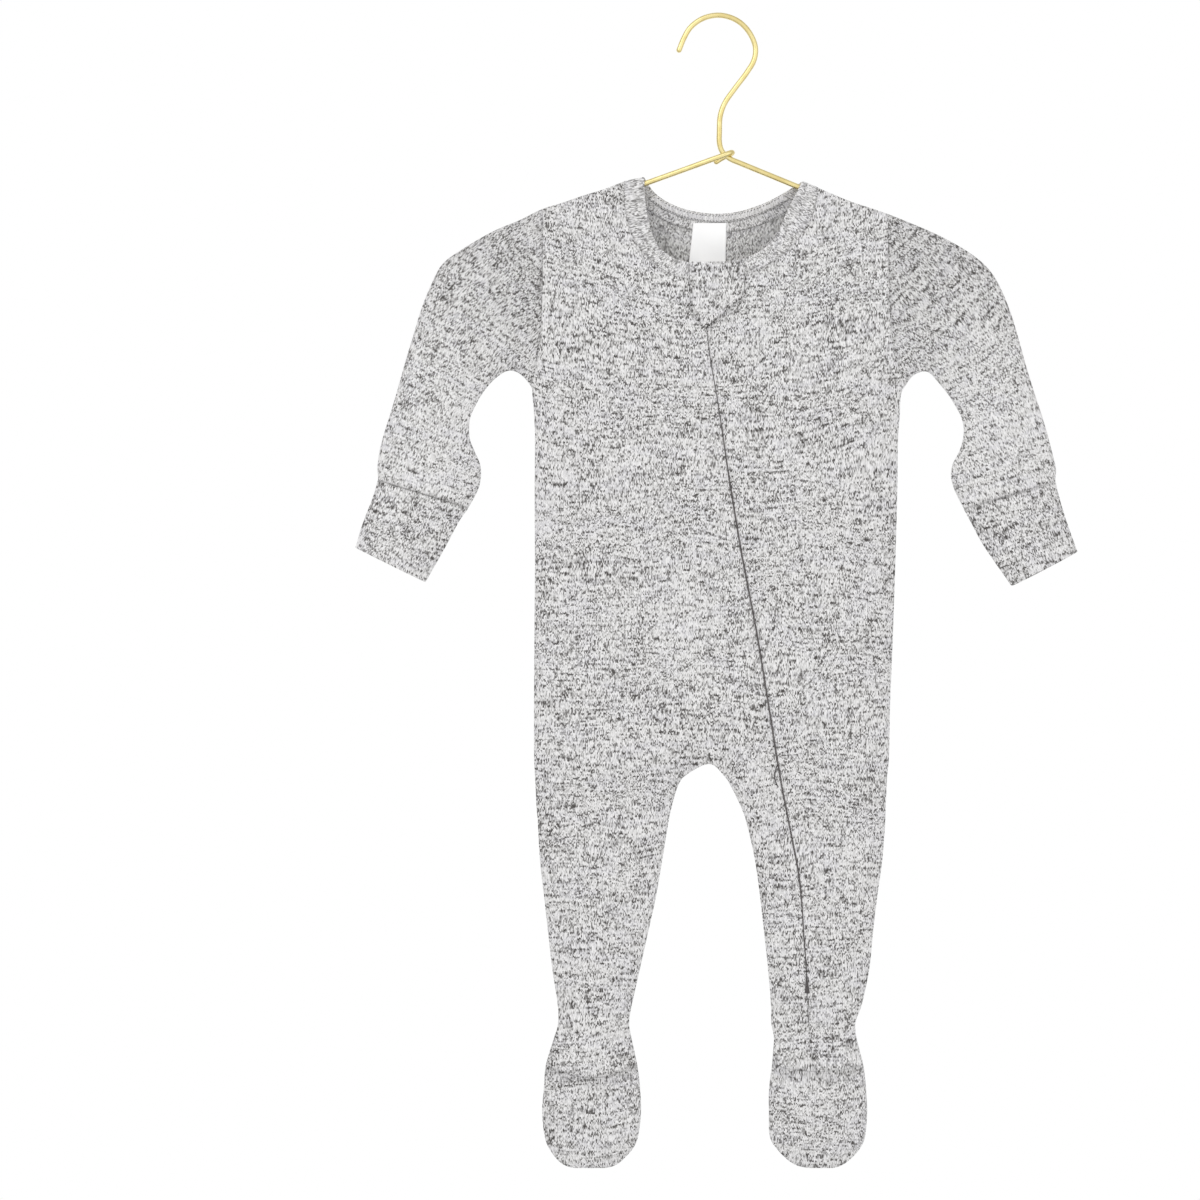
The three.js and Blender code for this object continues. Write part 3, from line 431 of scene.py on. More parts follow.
# Joins patches into one closed wall: the outer faces, the inner ones turned round, and a rim on each open
# edge. Points that fall together within 0.0005 become one.
def closedWall(patches):
    outer = np.concatenate([patch[0].reshape(-1, 3) for patch in patches])
    inner = np.concatenate([patch[1].reshape(-1, 3) for patch in patches])
    uv = np.concatenate([patch[2].reshape(-1, 2) for patch in patches])
    faces = []
    before = 0
    for patch in patches:
        rows, width = patch[0].shape[:2]
        index = before + np.arange(rows * width).reshape(rows, width)
        a, b, c, d = index[:-1, :-1], index[:-1, 1:], index[1:, :-1], index[1:, 1:]
        faces += [np.stack([a, c, d], -1).reshape(-1, 3), np.stack([a, d, b], -1).reshape(-1, 3)]
        before += rows * width
    faces = np.concatenate(faces)
    keys = np.round(outer * 2000).astype(np.int64)
    first, merged = np.unique(keys, axis=0, return_index=True, return_inverse=True)[1:]
    linked = merged.ravel()[faces]
    whole = (linked[:, 0] != linked[:, 1]) & (linked[:, 1] != linked[:, 2]) & (linked[:, 0] != linked[:, 2])
    faces, linked = faces[whole], linked[whole]
    count = len(first)
    edges = np.concatenate([linked[:, [0, 1]], linked[:, [1, 2]], linked[:, [2, 0]]])
    corners = np.concatenate([faces[:, [0, 1]], faces[:, [1, 2]], faces[:, [2, 0]]])
    isOpen = ~np.isin(edges[:, 0] * count + edges[:, 1], edges[:, 1] * count + edges[:, 0])
    start, end = edges[isOpen].T
    startUv, endUv = uv[corners[isOpen].T]
    rims = [np.stack([end, start, start + count], 1), np.stack([end, start + count, end + count], 1)]
    rimUv = [np.stack([endUv, startUv, startUv], 1), np.stack([endUv, startUv, endUv], 1)]
    points = np.concatenate([outer[first], inner[first]])
    triangles = np.concatenate([linked, linked[:, ::-1] + count] + rims)
    cornerUv = np.concatenate([uv[faces], uv[faces[:, ::-1]]] + rimUv)
    looks = np.repeat([0, 1, 0], [len(linked), len(linked), 2 * len(start)])
    if insideOut(points, triangles):
        triangles, cornerUv = triangles[:, ::-1], cornerUv[:, ::-1]
    return points, triangles, cornerUv, looks


# Several shells as one.
def together(*shells):
    points, triangles, cornerUv, looks = zip(*shells)
    before = np.cumsum([0] + [len(part) for part in points[:-1]])
    moved = [part + start for part, start in zip(triangles, before)]
    return tuple(np.concatenate(parts) for parts in (points, moved, cornerUv, looks))


# Painted shade at a seam, in place of the shadow in its groove: strength times a bell of the distance to its
# line, kept on each point as the "seam" attribute that darkens the knit.
def paintSeamShade(mesh, names):
    points = np.empty(len(mesh.vertices) * 3, np.float32)
    mesh.vertices.foreach_get("co", points)
    x, z = points[::3] / mm, points[2::3] / mm
    shade = np.zeros(len(x))
    for line, strength in (seams[name][::2] for name in names):
        low, high = line.min(0) - seam["shadeReach"], line.max(0) + seam["shadeReach"]
        near = (x > low[0]) & (x < high[0]) & (z > low[1]) & (z < high[1])
        shade[near] += strength * np.exp(-((nearestOn(line, x[near], z[near])[0] / seam["width"]) ** 2))
    mesh.attributes.new("seam", "FLOAT", "POINT").data.foreach_set("value", shade.astype(np.float32))


# Makes a shell a piece that rides on root. Its inner faces take the second material, if there is one.
def makePiece(name, shell, materials, node=None, names=()):
    points, triangles, cornerUv, looks = shell
    mesh = bpy.data.meshes.new(name)
    mesh.vertices.add(len(points))
    mesh.vertices.foreach_set("co", (points * mm).astype(np.float32).ravel())
    mesh.loops.add(triangles.size)
    mesh.loops.foreach_set("vertex_index", triangles.astype(np.int32).ravel())
    mesh.polygons.add(len(triangles))
    mesh.polygons.foreach_set("loop_start", np.arange(0, triangles.size, 3, dtype=np.int32))
    mesh.polygons.foreach_set("material_index", np.minimum(looks, len(materials) - 1).astype(np.int32))
    mesh.polygons.foreach_set("use_smooth", np.ones(len(triangles), bool))
    mesh.uv_layers.new(name="cloth").data.foreach_set("uv", (cornerUv * mm).astype(np.float32).ravel())
    mesh.update(calc_edges=True)
    mesh.validate()
    for material in materials:
        mesh.materials.append(material)
    piece = bpy.data.objects.new(name, mesh)
    bpy.context.scene.collection.objects.link(piece)
    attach(piece, "root")
    if node:
        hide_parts(node)
    if names:
        paintSeamShade(mesh, names)
    print(f"{name}: {len(triangles)} triangles, {len(names)} seams shaded")
    return piece


# Shader maths: a signal is one output socket, and + - * on it add Math nodes.
class Signal:
    def __init__(self, finish, socket):
        self.finish = finish
        self.socket = socket

    def math(self, operation, *others):
        return self.finish.node("ShaderNodeMath", {"operation": operation}, dict(enumerate((self,) + others)))

    def __add__(self, other):
        return self.math("ADD", other)

    def __sub__(self, other):
        return self.math("SUBTRACT", other)

    def __rsub__(self, other):
        return self.finish.node("ShaderNodeMath", {"operation": "SUBTRACT"}, {0: other, 1: self})

    def __mul__(self, other):
        return self.math("MULTIPLY", other)

    __radd__ = __add__
    __rmul__ = __mul__

    def between(self, low, high):  # 0 under low, 1 over high, smooth between them
        settings = {"interpolation_type": "SMOOTHSTEP"}
        return self.finish.node("ShaderNodeMapRange", settings, {0: self, 1: low, 2: high, 3: 0, 4: 1})


class Finish:  # the nodes of one material, or of the room
    def __init__(self, owner):
        self.owner = owner
        owner.use_nodes = True
        self.tree = owner.node_tree
        self.tree.nodes.clear()

    def node(self, kind, settings, inputs, output=0):
        made = self.tree.nodes.new(kind)
        for name, value in settings.items():
            setattr(made, name, value)
        for place, value in inputs.items():
            if isinstance(value, Signal):
                self.tree.links.new(value.socket, made.inputs[place])
            else:
                made.inputs[place].default_value = value
        return Signal(self, made.outputs[output]) if len(made.outputs) else None

    def cloth(self, across, along):  # the piece's UV, with across and along millimetres as its unit
        uv = self.node("ShaderNodeUVMap", {"uv_map": "cloth"}, {})
        return self.stretch(uv, 1 / (across * mm), 1 / (along * mm))

    def solid(self, size):  # the object's own coordinates, with size millimetres as the unit
        place = self.node("ShaderNodeTexCoord", {}, {}, 3)
        return self.stretch(place, 1 / (size * mm), 1 / (size * mm), 1 / (size * mm))

    def vector(self, x, y):
        return self.node("ShaderNodeCombineXYZ", {}, {0: x, 1: y})

    def stretch(self, place, x, y, z=0.0):
        return self.node("ShaderNodeVectorMath", {"operation": "MULTIPLY"}, {0: place, 1: (x, y, z)})

    def noise(self, place, detail=1.0, roughness=0.5, dimensions="2D"):
        inputs = {"Vector": place, "Scale": 1.0, "Detail": detail, "Roughness": roughness}
        return self.node("ShaderNodeTexNoise", {"noise_dimensions": dimensions}, inputs)

    def parts(self, place):
        outputs = self.node("ShaderNodeSeparateXYZ", {}, {0: place}).socket.node.outputs
        return [Signal(self, output) for output in outputs]

    def blend(self, factor, first, second):
        return self.node("ShaderNodeMix", {"data_type": "RGBA"}, {0: factor, 6: first, 7: second}, 2)

    def close(self, colour, roughness, bump=None, bumpHeight=0.0, strength=1.0, **constants):
        inputs = {"Base Color": colour, "Roughness": roughness}
        if bump is not None:
            sizes = {"Strength": strength, "Distance": bumpHeight * mm, "Height": bump}
            inputs["Normal"] = self.node("ShaderNodeBump", {}, sizes)
        inputs.update({name.replace("_", " "): value for name, value in constants.items()})
        shader = self.node("ShaderNodeBsdfPrincipled", {}, inputs)
        self.node("ShaderNodeOutputMaterial", {}, {0: shader})
        return self.owner


# A screen colour (0 to 255) as the linear colour that a shader takes.
def colour(*parts):
    shares = [part / 255 for part in parts]
    return (*(share / 12.92 if share < 0.04045 else ((share + 0.055) / 1.055) ** 2.4 for share in shares), 1.0)


knit = {
    "light": colour(224, 223, 222),
    "cool": colour(219, 218, 221),
    "tint": (26, 11),  # size of the patches that turn from light to cool, mm
    "bright": colour(246, 245, 245),  # a stitch that takes the light
    "dark": colour(82, 79, 77),
    "wale": 1.3,  # width of one stitch, mm
    "course": 1.1,  # height of one row, mm
    "wobble": (5, 0.9),  # size in mm and strength of each stitch's unevenness
    "bend": (70, 55, 14),  # width and length in mm of the rows' slow waves, and their height in rows
    "slant": 0.6,  # rows that a leg of the V climbs
    "bow": 0.32,  # rows that a loop's bow rises and sinks behind
    "run": 1.5,  # legs over which the yarn keeps its shade
    "streak": (15, 2.1, 0.55),  # width and height in mm and share of each noise that makes dark areas
    "clump": (4.4, 3.2, 0.45),
    "patch": (46, 30, 0.16),
    "wideMiddle": 0.58,
    "draw": 0.3,  # share of each leg's own draw, and of the noise along its yarn
    "yarn": 0.9,
    "less": 0.1,  # taken off the sum of all these
    "level": 0.61,  # higher leaves fewer dark stitches
    "soft": 0.24,
    "brightTo": 0.75,  # legs that draw less than this are brighter
    # Painted shade on a sleeve's head: from the shoulder to headDown it gets more dark stitches and is blended
    # towards the dark yarn.
    "headDown": (100, 200),  # where along a sleeve its darker head ends, its level and its shade
    "headLevel": 0.055,
    "headPaintedShade": 0.13,
    # Painted shade between the stitches, where the loops shadow each other: how far the colour is blended
    # towards the dark yarn there.
    "groove": 0.13,  # how much darker it is between the stitches
    "relief": (0.5, 0.45, 0.3, 0.3),  # shares of the leg, the row, the draw and the wobble in its height
    "bump": 0.3,
    "bumpStrength": 0.55,
    "roughness": 0.93,
}


# Heather knit: u and v count stitches and rows. A stitch is a V of two legs, so the row at a point is
# floor(v - slant * |2 fract(u) - 1|). Behind only the loops' bows show: floor(v + bow * sin(2 pi u)).
# A leg is dark where its own draw, the noise along its yarn and the three wide noises add up past a level.
def knitFinish(name, dark=0.0, contrast=1.0, coarse=1.0, purl=False, shadedHead=False):
    make = Finish(bpy.data.materials.new(name))
    wobbleSize, wobbleStrength = knit["wobble"]
    wobble = make.noise(make.cloth(wobbleSize, wobbleSize))
    bend = make.noise(make.cloth(*knit["bend"][:2]))
    u, v = make.parts(make.cloth(knit["wale"], knit["course"]))[:2]
    u = u + (wobble - 0.5) * wobbleStrength
    v = v + (bend - 0.5) * knit["bend"][2] + (wobble - 0.5) * wobbleStrength
    aside = (u.math("FRACT") * 2 - 1).math("ABSOLUTE")
    climbed = v + ((u * (2 * math.pi)).math("SINE") * knit["bow"] if purl else aside * -knit["slant"])

    def wideNoise(kind):
        width, height, share = knit[kind]
        return make.noise(make.vector(u * (knit["wale"] / width), v * (knit["course"] / height))) * share

    leg = make.vector((u * 2).math("FLOOR"), climbed.math("FLOOR"))
    draw = make.node("ShaderNodeTexWhiteNoise", {"noise_dimensions": "2D"}, {"Vector": leg})
    yarn = make.noise(make.stretch(leg, 1 / knit["run"], 7.31), 0.0)
    wide = wideNoise("streak") + wideNoise("clump") + wideNoise("patch") - knit["wideMiddle"]
    level = draw * knit["draw"] + yarn * knit["yarn"] + wide * coarse - knit["less"] + dark
    shadow = 0.0
    # Painted shade: the mask below darkens a sleeve's head in place of the shade that falls on it.
    if shadedHead:  # a sleeve's head is a little darker: v falls from the shoulder to the wrist
        shadow = make.parts(make.cloth(1, 1))[1].between(*knit["headDown"])
        level = level + shadow * knit["headLevel"]
    mask = level.between(knit["level"] - knit["soft"], knit["level"] + knit["soft"]) * contrast
    lights = make.blend(make.noise(make.cloth(*knit["tint"])).between(0.4, 0.7), knit["light"], knit["cool"])
    brightness = (knit["brightTo"] - draw).between(0.0, knit["brightTo"])
    shades = make.blend(mask, make.blend(brightness, lights, knit["bright"]), knit["dark"])
    acrossLeg = ((u * 2).math("FRACT") * math.pi).math("SINE")
    acrossRow = (climbed.math("FRACT") * math.pi).math("SINE")
    # Painted shade: groove marks the gaps between stitches, which are darkened in place of the loops' shadows
    # on each other.
    groove = (1 - acrossRow).between(0.4, 1.0) if purl else aside.between(0.6, 1.0)
    legShare, rowShare, drawShare, wobbleShare = knit["relief"]
    raised = acrossLeg * legShare + acrossRow * rowShare + draw * drawShare + wobble * wobbleShare
    # The "seam" attribute is painted seam shade: near a seam the colour is blended towards the dark yarn, in
    # place of the shadow in its groove.
    paintedSeamShade = make.node("ShaderNodeAttribute", {"attribute_type": "GEOMETRY", "attribute_name": "seam"}, {}, 2)
    shaded = make.blend(groove * knit["groove"] + shadow * knit["headPaintedShade"] + paintedSeamShade, shades, knit["dark"])
    return make.close(shaded, knit["roughness"], raised, knit["bump"], knit["bumpStrength"],
                      Sheen_Weight=0.12, Sheen_Roughness=0.5, Specular_IOR_Level=0.15)


greyKnit = knitFinish("greyKnit")
sleeveKnit = knitFinish("sleeveKnit", dark=-0.04, shadedHead=True)
insideKnit = knitFinish("insideKnit", dark=0.01, contrast=0.85, coarse=0.4, purl=True)
foldedKnit = knitFinish("foldedKnit", dark=0.015)
bandKnit = knitFinish("bandKnit", dark=0.03, contrast=0.8, coarse=0.6)
tapeKnit = knitFinish("tapeKnit", dark=-0.12, contrast=0.35, coarse=0.4)


# Two close colours mixed by a fine noise of a size in mm, which also adds to the roughness and the bump.
def plainFinish(name, base, other, size, roughness, bump, grain=(1, 1), **constants):
    make = Finish(bpy.data.materials.new(name))
    speckle = make.noise(make.stretch(make.solid(size), 1 / grain[0], 1.0, 1 / grain[1]), 2.0, 0.6, "3D")
    mixed = make.blend(speckle.between(0.35, 0.65), colour(*base), colour(*other))
    return make.close(mixed, speckle * 0.15 + roughness, speckle, bump, 0.6, **constants)


# The label glows a little: painted light that lifts it out of the shade inside the neck.
glowingLabelCloth = plainFinish(
    "glowingLabelCloth", (254, 254, 254), (249, 249, 250), 0.5, 0.5, 0.05, (3, 1), Sheen_Weight=0.1,
    Emission_Color=(1, 1, 1, 1), Emission_Strength=0.14)
zipCloth = plainFinish("zipCloth", (122, 118, 118), (96, 92, 93), 0.6, 0.85, 0.1)
coilNylon = plainFinish("coilNylon", (150, 145, 144), (122, 117, 117), 0.9, 0.45, 0.02)
sliderMetal = plainFinish("sliderMetal", (176, 174, 172), (150, 148, 147), 1.2, 0.25, 0.02, Metallic=1.0)
stopMetal = plainFinish("stopMetal", (82, 78, 78), (66, 62, 62), 0.7, 0.5, 0.03)
goldWire = plainFinish("goldWire", (245, 229, 166), (233, 214, 148), 9, 0.24, 0.0003, Metallic=1.0)
darkThread = plainFinish("darkThread", (72, 66, 66), (54, 50, 50), 0.4, 0.8, 0.05)
print("finishes made")


patternAt = {"back": 900, "sleeve": 700, "band": 1500}  # where in the pattern a piece's own part of it begins


# A net from points of x and z, with a side, u and v for each of them.
def asNet(points, *values):
    spread = [np.broadcast_to(value, points.shape[:2])[..., None] for value in values]
    return np.concatenate([points] + spread, 2)


# Points of one face of the body: the pattern follows x and z, and the back has its own part of it.
# Its rows lift by rise * x squared at the chest.
def onFace(points, side):
    pattern = points + (patternAt["back"] if side > 0 else 0)
    lifted = body["rise"] * points[..., 0] ** 2 * (1 - smoothStep(-points[..., 1], *body["riseFade"]))
    return asNet(points, float(side), pattern[..., 0], pattern[..., 1] - lifted)


# Rows from a to b, with a point at each of the shares.
def between(a, b, shares):
    return a[:, None] + (b - a)[:, None] * np.asarray(shares)[None, :, None]


def joined(first, second):
    return np.concatenate([first, second[1:]])


# The armhole seam from the underarm (0) to the shoulder (1). It runs straight and turns out at its foot.
def armhole(side, share):
    tip, foot = topOf(side, 0), underOf(side, 0)
    share = np.asarray(share, float)
    return np.stack([mix(tip[0], foot[0], (1 - share) ** 5), mix(foot[1], tip[1], share)], -1)


# The seam and the free edge of a stretch of the neck, each as a function of the share along it.
def neckLine(rows):
    lines = columns(rows, 0, 1), columns(rows, 2, 3)
    return [lambda share, line=line: alongSpline(line, share * (len(line) - 1)) for line in lines]


leftNeck, rightNeck, rearNeck = neckLine(leftFrontNeck), neckLine(rightFrontNeck), neckLine(backNeck)
frontNeckSteps = closeAtFirst(10 * fine)
backNeckSteps = closeAtBoth(12 * fine)
legSteps = closeAtBoth(10 * fine)
upperSteps = closeAtBoth(12 * fine)

# How far the instep seam sinks in the middle, left and right, and the cloth that follows it.
instep = {"bow": {-1: 7, 1: 3}, "reach": 15}


# The front's cloth about the instep seam sinks by bow * (1 - t^2), t across the leg from -1 to 1.
def bowed(points, side):
    row = np.interp(-points[..., 1], legs[:, 0], np.arange(len(legs)))
    outside, inside = outsideLegOf(side, row)[..., 0], insideLegOf(side, row)[..., 0]
    t = np.clip((2 * points[..., 0] - outside - inside) / (outside - inside), -1, 1)
    near = np.exp(-(((-points[..., 1] - legs[instepRow, 0]) / instep["reach"]) ** 2))
    points = points.copy()
    points[..., 1] -= instep["bow"][side] * (1 - t * t) * near
    return points


fineSteps = steps(60)
belowZip = np.linspace(*zipper["seamBelow"], 12)


# The instep seam across a leg, with its bow.
def instepLine(side):
    return bowed(mix(outsideLegOf(side, instepRow), insideLegOf(side, instepRow), steps(16)[:, None]), side)


# The third column is painted shade: how far the knit is darkened along the seam, in place of the shadow in its
# groove.
seams = {  # each seam's line, how deep the cloth dips there, and how much darker it is
    "armholeLeft": (armhole(-1, fineSteps), 0.14, 0.08),
    "armholeRight": (armhole(1, fineSteps), 0.14, 0.08),
    "neckLeft": (leftNeck[0](fineSteps), 0.2, 0.16),
    "neckRight": (rightNeck[0](fineSteps), 0.2, 0.12),
    "neckBack": (rearNeck[0](fineSteps), 0.2, 0.14),
    "instepLeft": (instepLine(-1), 0.5, 0.1),
    "instepRight": (instepLine(1), 0.4, 0.09),
    "heelLeft": (np.array([outsideLegOf(-1, heelRow), insideLegOf(-1, heelRow)]), 0.45, 0.1),
    "heelRight": (np.array([insideLegOf(1, heelRow), outsideLegOf(1, heelRow)]), 0.45, 0.1),
    "cuffLeft": (np.array([topOf(-1, cuffSeamRing), underOf(-1, cuffSeamRing)]), 0.6, 0.19),
    "cuffRight": (np.array([topOf(1, cuffSeamRing), underOf(1, cuffSeamRing)]), 0.7, 0.25),
    "belowZip": (flatPoints(zipX(belowZip), belowZip), 0.25, 0.05),
}


# Line and depth of the seams with these names.
def named(names):
    return [seams[name][:2] for name in names]


# The shoulder's edge from the armhole's tip to the neck seam.
def shoulderRow(side):
    line = leftTop if side < 0 else rightTop
    tip = len(leftShoulder) if side < 0 else len(line) - 1 - len(rightShoulder)
    neck = 1 if side < 0 else len(line) - 2
    return alongSpline(line, mix(tip, neck, closeAtFirst(5 * fine)))


# Lines from the torso's first row up to the shoulders and the neck, pulled onto the panel's two edges.
def upperPart(bottom, top, leftEdge, rightEdge):
    share = upperSteps[:, None]
    points = bottom[None] + (top - bottom)[None] * share[..., None]
    across = np.linspace(0, 1, len(bottom))[None, :, None]
    left = (leftEdge(upperSteps) - mix(bottom[0], top[0], share))[:, None]
    right = (rightEdge(upperSteps) - mix(bottom[-1], top[-1], share))[:, None]
    return points + left * (1 - across) ** 3 + right * across ** 3


torsoDowns = np.append(torso[:, 0], legs[0, 0])
torsoSteps = np.arange((len(torsoDowns) - 1) * samplesPerRow + 1) / samplesPerRow
torsoLine = np.interp(torsoSteps, np.arange(len(torsoDowns)), torsoDowns)
crotchX = alongSpline(insideLegs, toeRow)[0]


# Rows across the torso: their columns change evenly from those of the top to those at the crotch.
def torsoNet(left, right, top, spacing, crotchShares):
    topShares = (spacing + (top[:, 0] - top[0, 0]) / (top[-1, 0] - top[0, 0])) / 2
    lowered = mix(topShares[None], crotchShares[None], torsoSteps[:, None] / torsoSteps[-1])
    return left[:, None] + (right - left)[:, None] * lowered[..., None]


# Columns of the last torso row, divided at the crotch between the two legs' columns.
def sharesAtCrotch(left, right, leftSteps, rightSteps):
    divide = (crotchX - left[0]) / (right[0] - left[0])
    return joined(leftSteps * divide, mix(divide, 1, rightSteps))


# Rows of a leg, as places in its table, from the first given to the last.
def legStepsTo(last, first=0.0):
    whole = np.arange(math.ceil(first) * samplesPerRow, last * samplesPerRow + 1) / samplesPerRow
    return np.append([first] if first % 1 else [], whole)


# A front's edge along the zip above the torso's first row, by the share of the way up.
def zipAbove(side):
    return lambda share: zipEdge(mix(torso[0, 0], zipper["top"], share), side)


# How far down rows of the legs' table lie.
def legDown(rows):
    return np.interp(rows, np.arange(len(legs)), legs[:, 0])


# A panel's nets: the part over the underarm, the torso and the legs.
def panelNets(upper, rows, legNets, side):
    return [onFace(net, side) for net in [upper[::-1], rows] + legNets]


# The left front reaches over the crotch: its last columns are the inner strip of the right leg.
def frontLeftNets():
    side, zipSide = sideOf(-1, torsoSteps), zipEdge(torsoLine, -1)
    strip = closeAtFirst(5 * fine)
    top = joined(shoulderRow(-1), leftNeck[0](frontNeckSteps))
    shares = sharesAtCrotch(side[-1], zipSide[-1], legSteps, strip)
    rows = torsoNet(side, zipSide, top, closeAtFirst(len(top) - 1), shares)
    upper = upperPart(rows[0], top, lambda share: armhole(-1, share), zipAbove(-1))
    down = legStepsTo(instepRow)
    leg = bowed(between(outsideLegOf(-1, down), insideLegOf(-1, down), legSteps), -1)
    inner = bowed(between(insideLegOf(1, down), zipEdge(legDown(down), -1), strip), 1)
    return panelNets(upper, rows, [leg, inner], -1)


def frontRightNets():
    side, zipSide = sideOf(1, torsoSteps), zipEdge(torsoLine, 1)
    top = joined(rightNeck[0](frontNeckSteps)[::-1], shoulderRow(1)[::-1])
    spacing = closeAtLast(len(top) - 1)
    rows = torsoNet(zipSide, side, top, spacing, spacing)
    upper = upperPart(rows[0], top, zipAbove(1), lambda share: armhole(1, share))
    down = legStepsTo(instepRow)
    leg = bowed(between(zipEdge(legDown(down), 1), outsideLegOf(1, down), spacing), 1)
    return panelNets(upper, rows, [leg], -1)


def backNets():
    left, right = sideOf(-1, torsoSteps), sideOf(1, torsoSteps)
    top = joined(joined(shoulderRow(-1), rearNeck[0](backNeckSteps)), shoulderRow(1)[::-1])
    shares = sharesAtCrotch(left[-1], right[-1], legSteps, upperSteps)
    rows = torsoNet(left, right, top, closeAtBoth(len(top) - 1), shares)
    upper = upperPart(rows[0], top, lambda share: armhole(-1, share), lambda share: armhole(1, share))
    down = legStepsTo(heelRow)
    legNets = [between(outsideLegOf(-1, down), insideLegOf(-1, down), legSteps),
               between(insideLegOf(1, down), outsideLegOf(1, down), upperSteps)]
    return panelNets(upper, rows, legNets, 1)


# One wall of knit from several nets side by side.
def panel(name, nets, node, *names):
    shell = closedWall([clothPatch(net, 0, body["cloth"], seamLines=named(names)) for net in nets])
    return makePiece(name, shell, [greyKnit, insideKnit], node, names)


legSeams = ["instepLeft", "instepRight", "belowZip"]
frontLeft = panel("frontLeft", frontLeftNets(), "front_left", "armholeLeft", "neckLeft", *legSeams)
frontRight = panel("frontRight", frontRightNets(), "front_right", "armholeRight", "neckRight", *legSeams)
backPanel = panel(
    "backPanel", backNets(), "back", "armholeLeft", "armholeRight", "neckBack", "heelLeft", "heelRight")


sleeves = {
    "start": (-56, 88),  # x and down of the line that the left sleeve's stitches run beside
    "lean": (46, 19),  # its lean in degrees, at the shoulder and at the wrist
    "turn": (60, 260),  # where along it the lean changes
    "mirror": -4,  # added to the mirrored x on the right
    "length": 430,
    "patternTop": 300,  # v where that line starts
}


# A point's place in a sleeve's pattern: how far it lies aside of the grain line, and how far along it.
def alongGrain(side, points):
    lengths = np.linspace(0, sleeves["length"], 500)
    lean = np.radians(mix(*sleeves["lean"], smoothStep(lengths, *sleeves["turn"])))
    direction = np.stack([side * np.sin(lean), -np.cos(lean)], 1)
    start = flatPoints(*np.array(sleeves["start"], float))
    if side > 0:
        start = start * [-1, 1] + [sleeves["mirror"], 0]
    line = start + np.cumsum(direction, axis=0) * lengths[1]
    flat = points.reshape(-1, 2)
    nearest = np.argmin(((flat[:, None] - line[None]) ** 2).sum(2), axis=1)
    off, along = flat - line[nearest], direction[nearest]
    aside = off[:, 1] * along[:, 0] - off[:, 0] * along[:, 1]
    far = lengths[nearest] + (off * along).sum(1)
    return aside.reshape(points.shape[:-1]), far.reshape(points.shape[:-1])


# Rings round an arm: over the front from the outside of the arm to its underside, and back behind. The first
# rings bend into the armhole seam. The pattern is a function of x and z, so it meets itself at both folds.
def ringNet(side, rings):
    top, under = topOf(side, rings), underOf(side, rings)
    start = np.zeros(1)
    first = between(topOf(side, start), underOf(side, start), upperSteps)[0]
    bent = (armhole(side, 1 - upperSteps) - first)[None]
    points = between(top, under, upperSteps) + bent * (np.clip(1 - rings, 0, 1) ** 2)[:, None, None]
    ring = np.concatenate([points, points[:, -2::-1]], 1)
    count = len(upperSteps) - 1
    sides = np.repeat([-1.0, 1.0], [count + 1, count])
    sides[[0, count, 2 * count]] = 0
    aside, along = alongGrain(side, ring)
    return asNet(ring, sides, aside + side * patternAt["sleeve"], sleeves["patternTop"] - along)


# Beside the armhole a sleeve is shifted aside by the seam's gap, which fades over its first ring.
def sleeve(side, name, node, *names):
    rings = np.arange(cuffSeamRing * samplesPerRow + 1) / samplesPerRow
    shift = side * body["seamGap"] * np.clip(1 - rings, 0, 1)[:, None] ** 2
    patch = clothPatch(ringNet(side, rings), 0, body["cloth"], 0, named(names), shift)
    return makePiece(name, closedWall([patch]), [sleeveKnit, insideKnit], node, names)


sleeveLeft = sleeve(-1, "sleeveLeft", "sleeve_left", "armholeLeft", "cuffLeft")
sleeveRight = sleeve(1, "sleeveRight", "sleeve_right", "armholeRight", "cuffRight")

# Thickness of one layer, the gap between both, how far the outer one stands out, and steps round the fold.
fold = {"layer": 0.8, "gap": 0.2, "raise": 0.3, "turnSteps": 8}


# A folded piece: out along the outer leaf, round a half circle at the fold, and back along the inner leaf.
# It gives, for each row, the distance before the fold and the depths of the leaf's two faces.
def foldedRows(distances):
    layer, gap, lift = fold["layer"], fold["gap"], fold["raise"]
    middle = layer + gap / 2 - lift
    turn = np.linspace(0, np.pi, fold["turnSteps"] + 1)[1:-1]
    outerRadius, innerRadius = layer + gap / 2, gap / 2
    outerAt = np.concatenate([distances, outerRadius * (1 - np.sin(turn)), distances[::-1]])
    innerAt = np.concatenate([distances, outerRadius - innerRadius * np.sin(turn), distances[::-1]])
    flat = np.ones(len(distances))
    outerDepth = [flat * -lift, middle - outerRadius * np.cos(turn), flat * (middle + outerRadius)]
    innerDepth = [flat * (layer - lift), middle - innerRadius * np.cos(turn), flat * (middle + innerRadius)]
    return outerAt, innerAt, np.concatenate(outerDepth), np.concatenate(innerDepth)


# The wall of a folded piece. netAt gives its net at distances before the fold, and each face lies at its own
# depths under that net.
def foldedPatch(distances, netAt, lines):
    outerAt, innerAt, outerDepth, innerDepth = foldedRows(distances)
    outerNet = netAt(outerAt)
    faces = []
    for net, depth in ((outerNet, outerDepth), (netAt(innerAt), innerDepth)):
        base, outwards = clothSurface(net, 0, lines)
        faces.append(base - outwards * depth[:, None, None])
    return faces[0], faces[1], outerNet[..., 3:5]


cuffs = {
    "perRing": 17.5,  # millimetres from one row of the sleeves' tables to the next, here
    "seamGap": 0.4,
    "bend": 4,
    "rows": 18,
    "nearFold": [2.6, 1.6, 0.9],
}


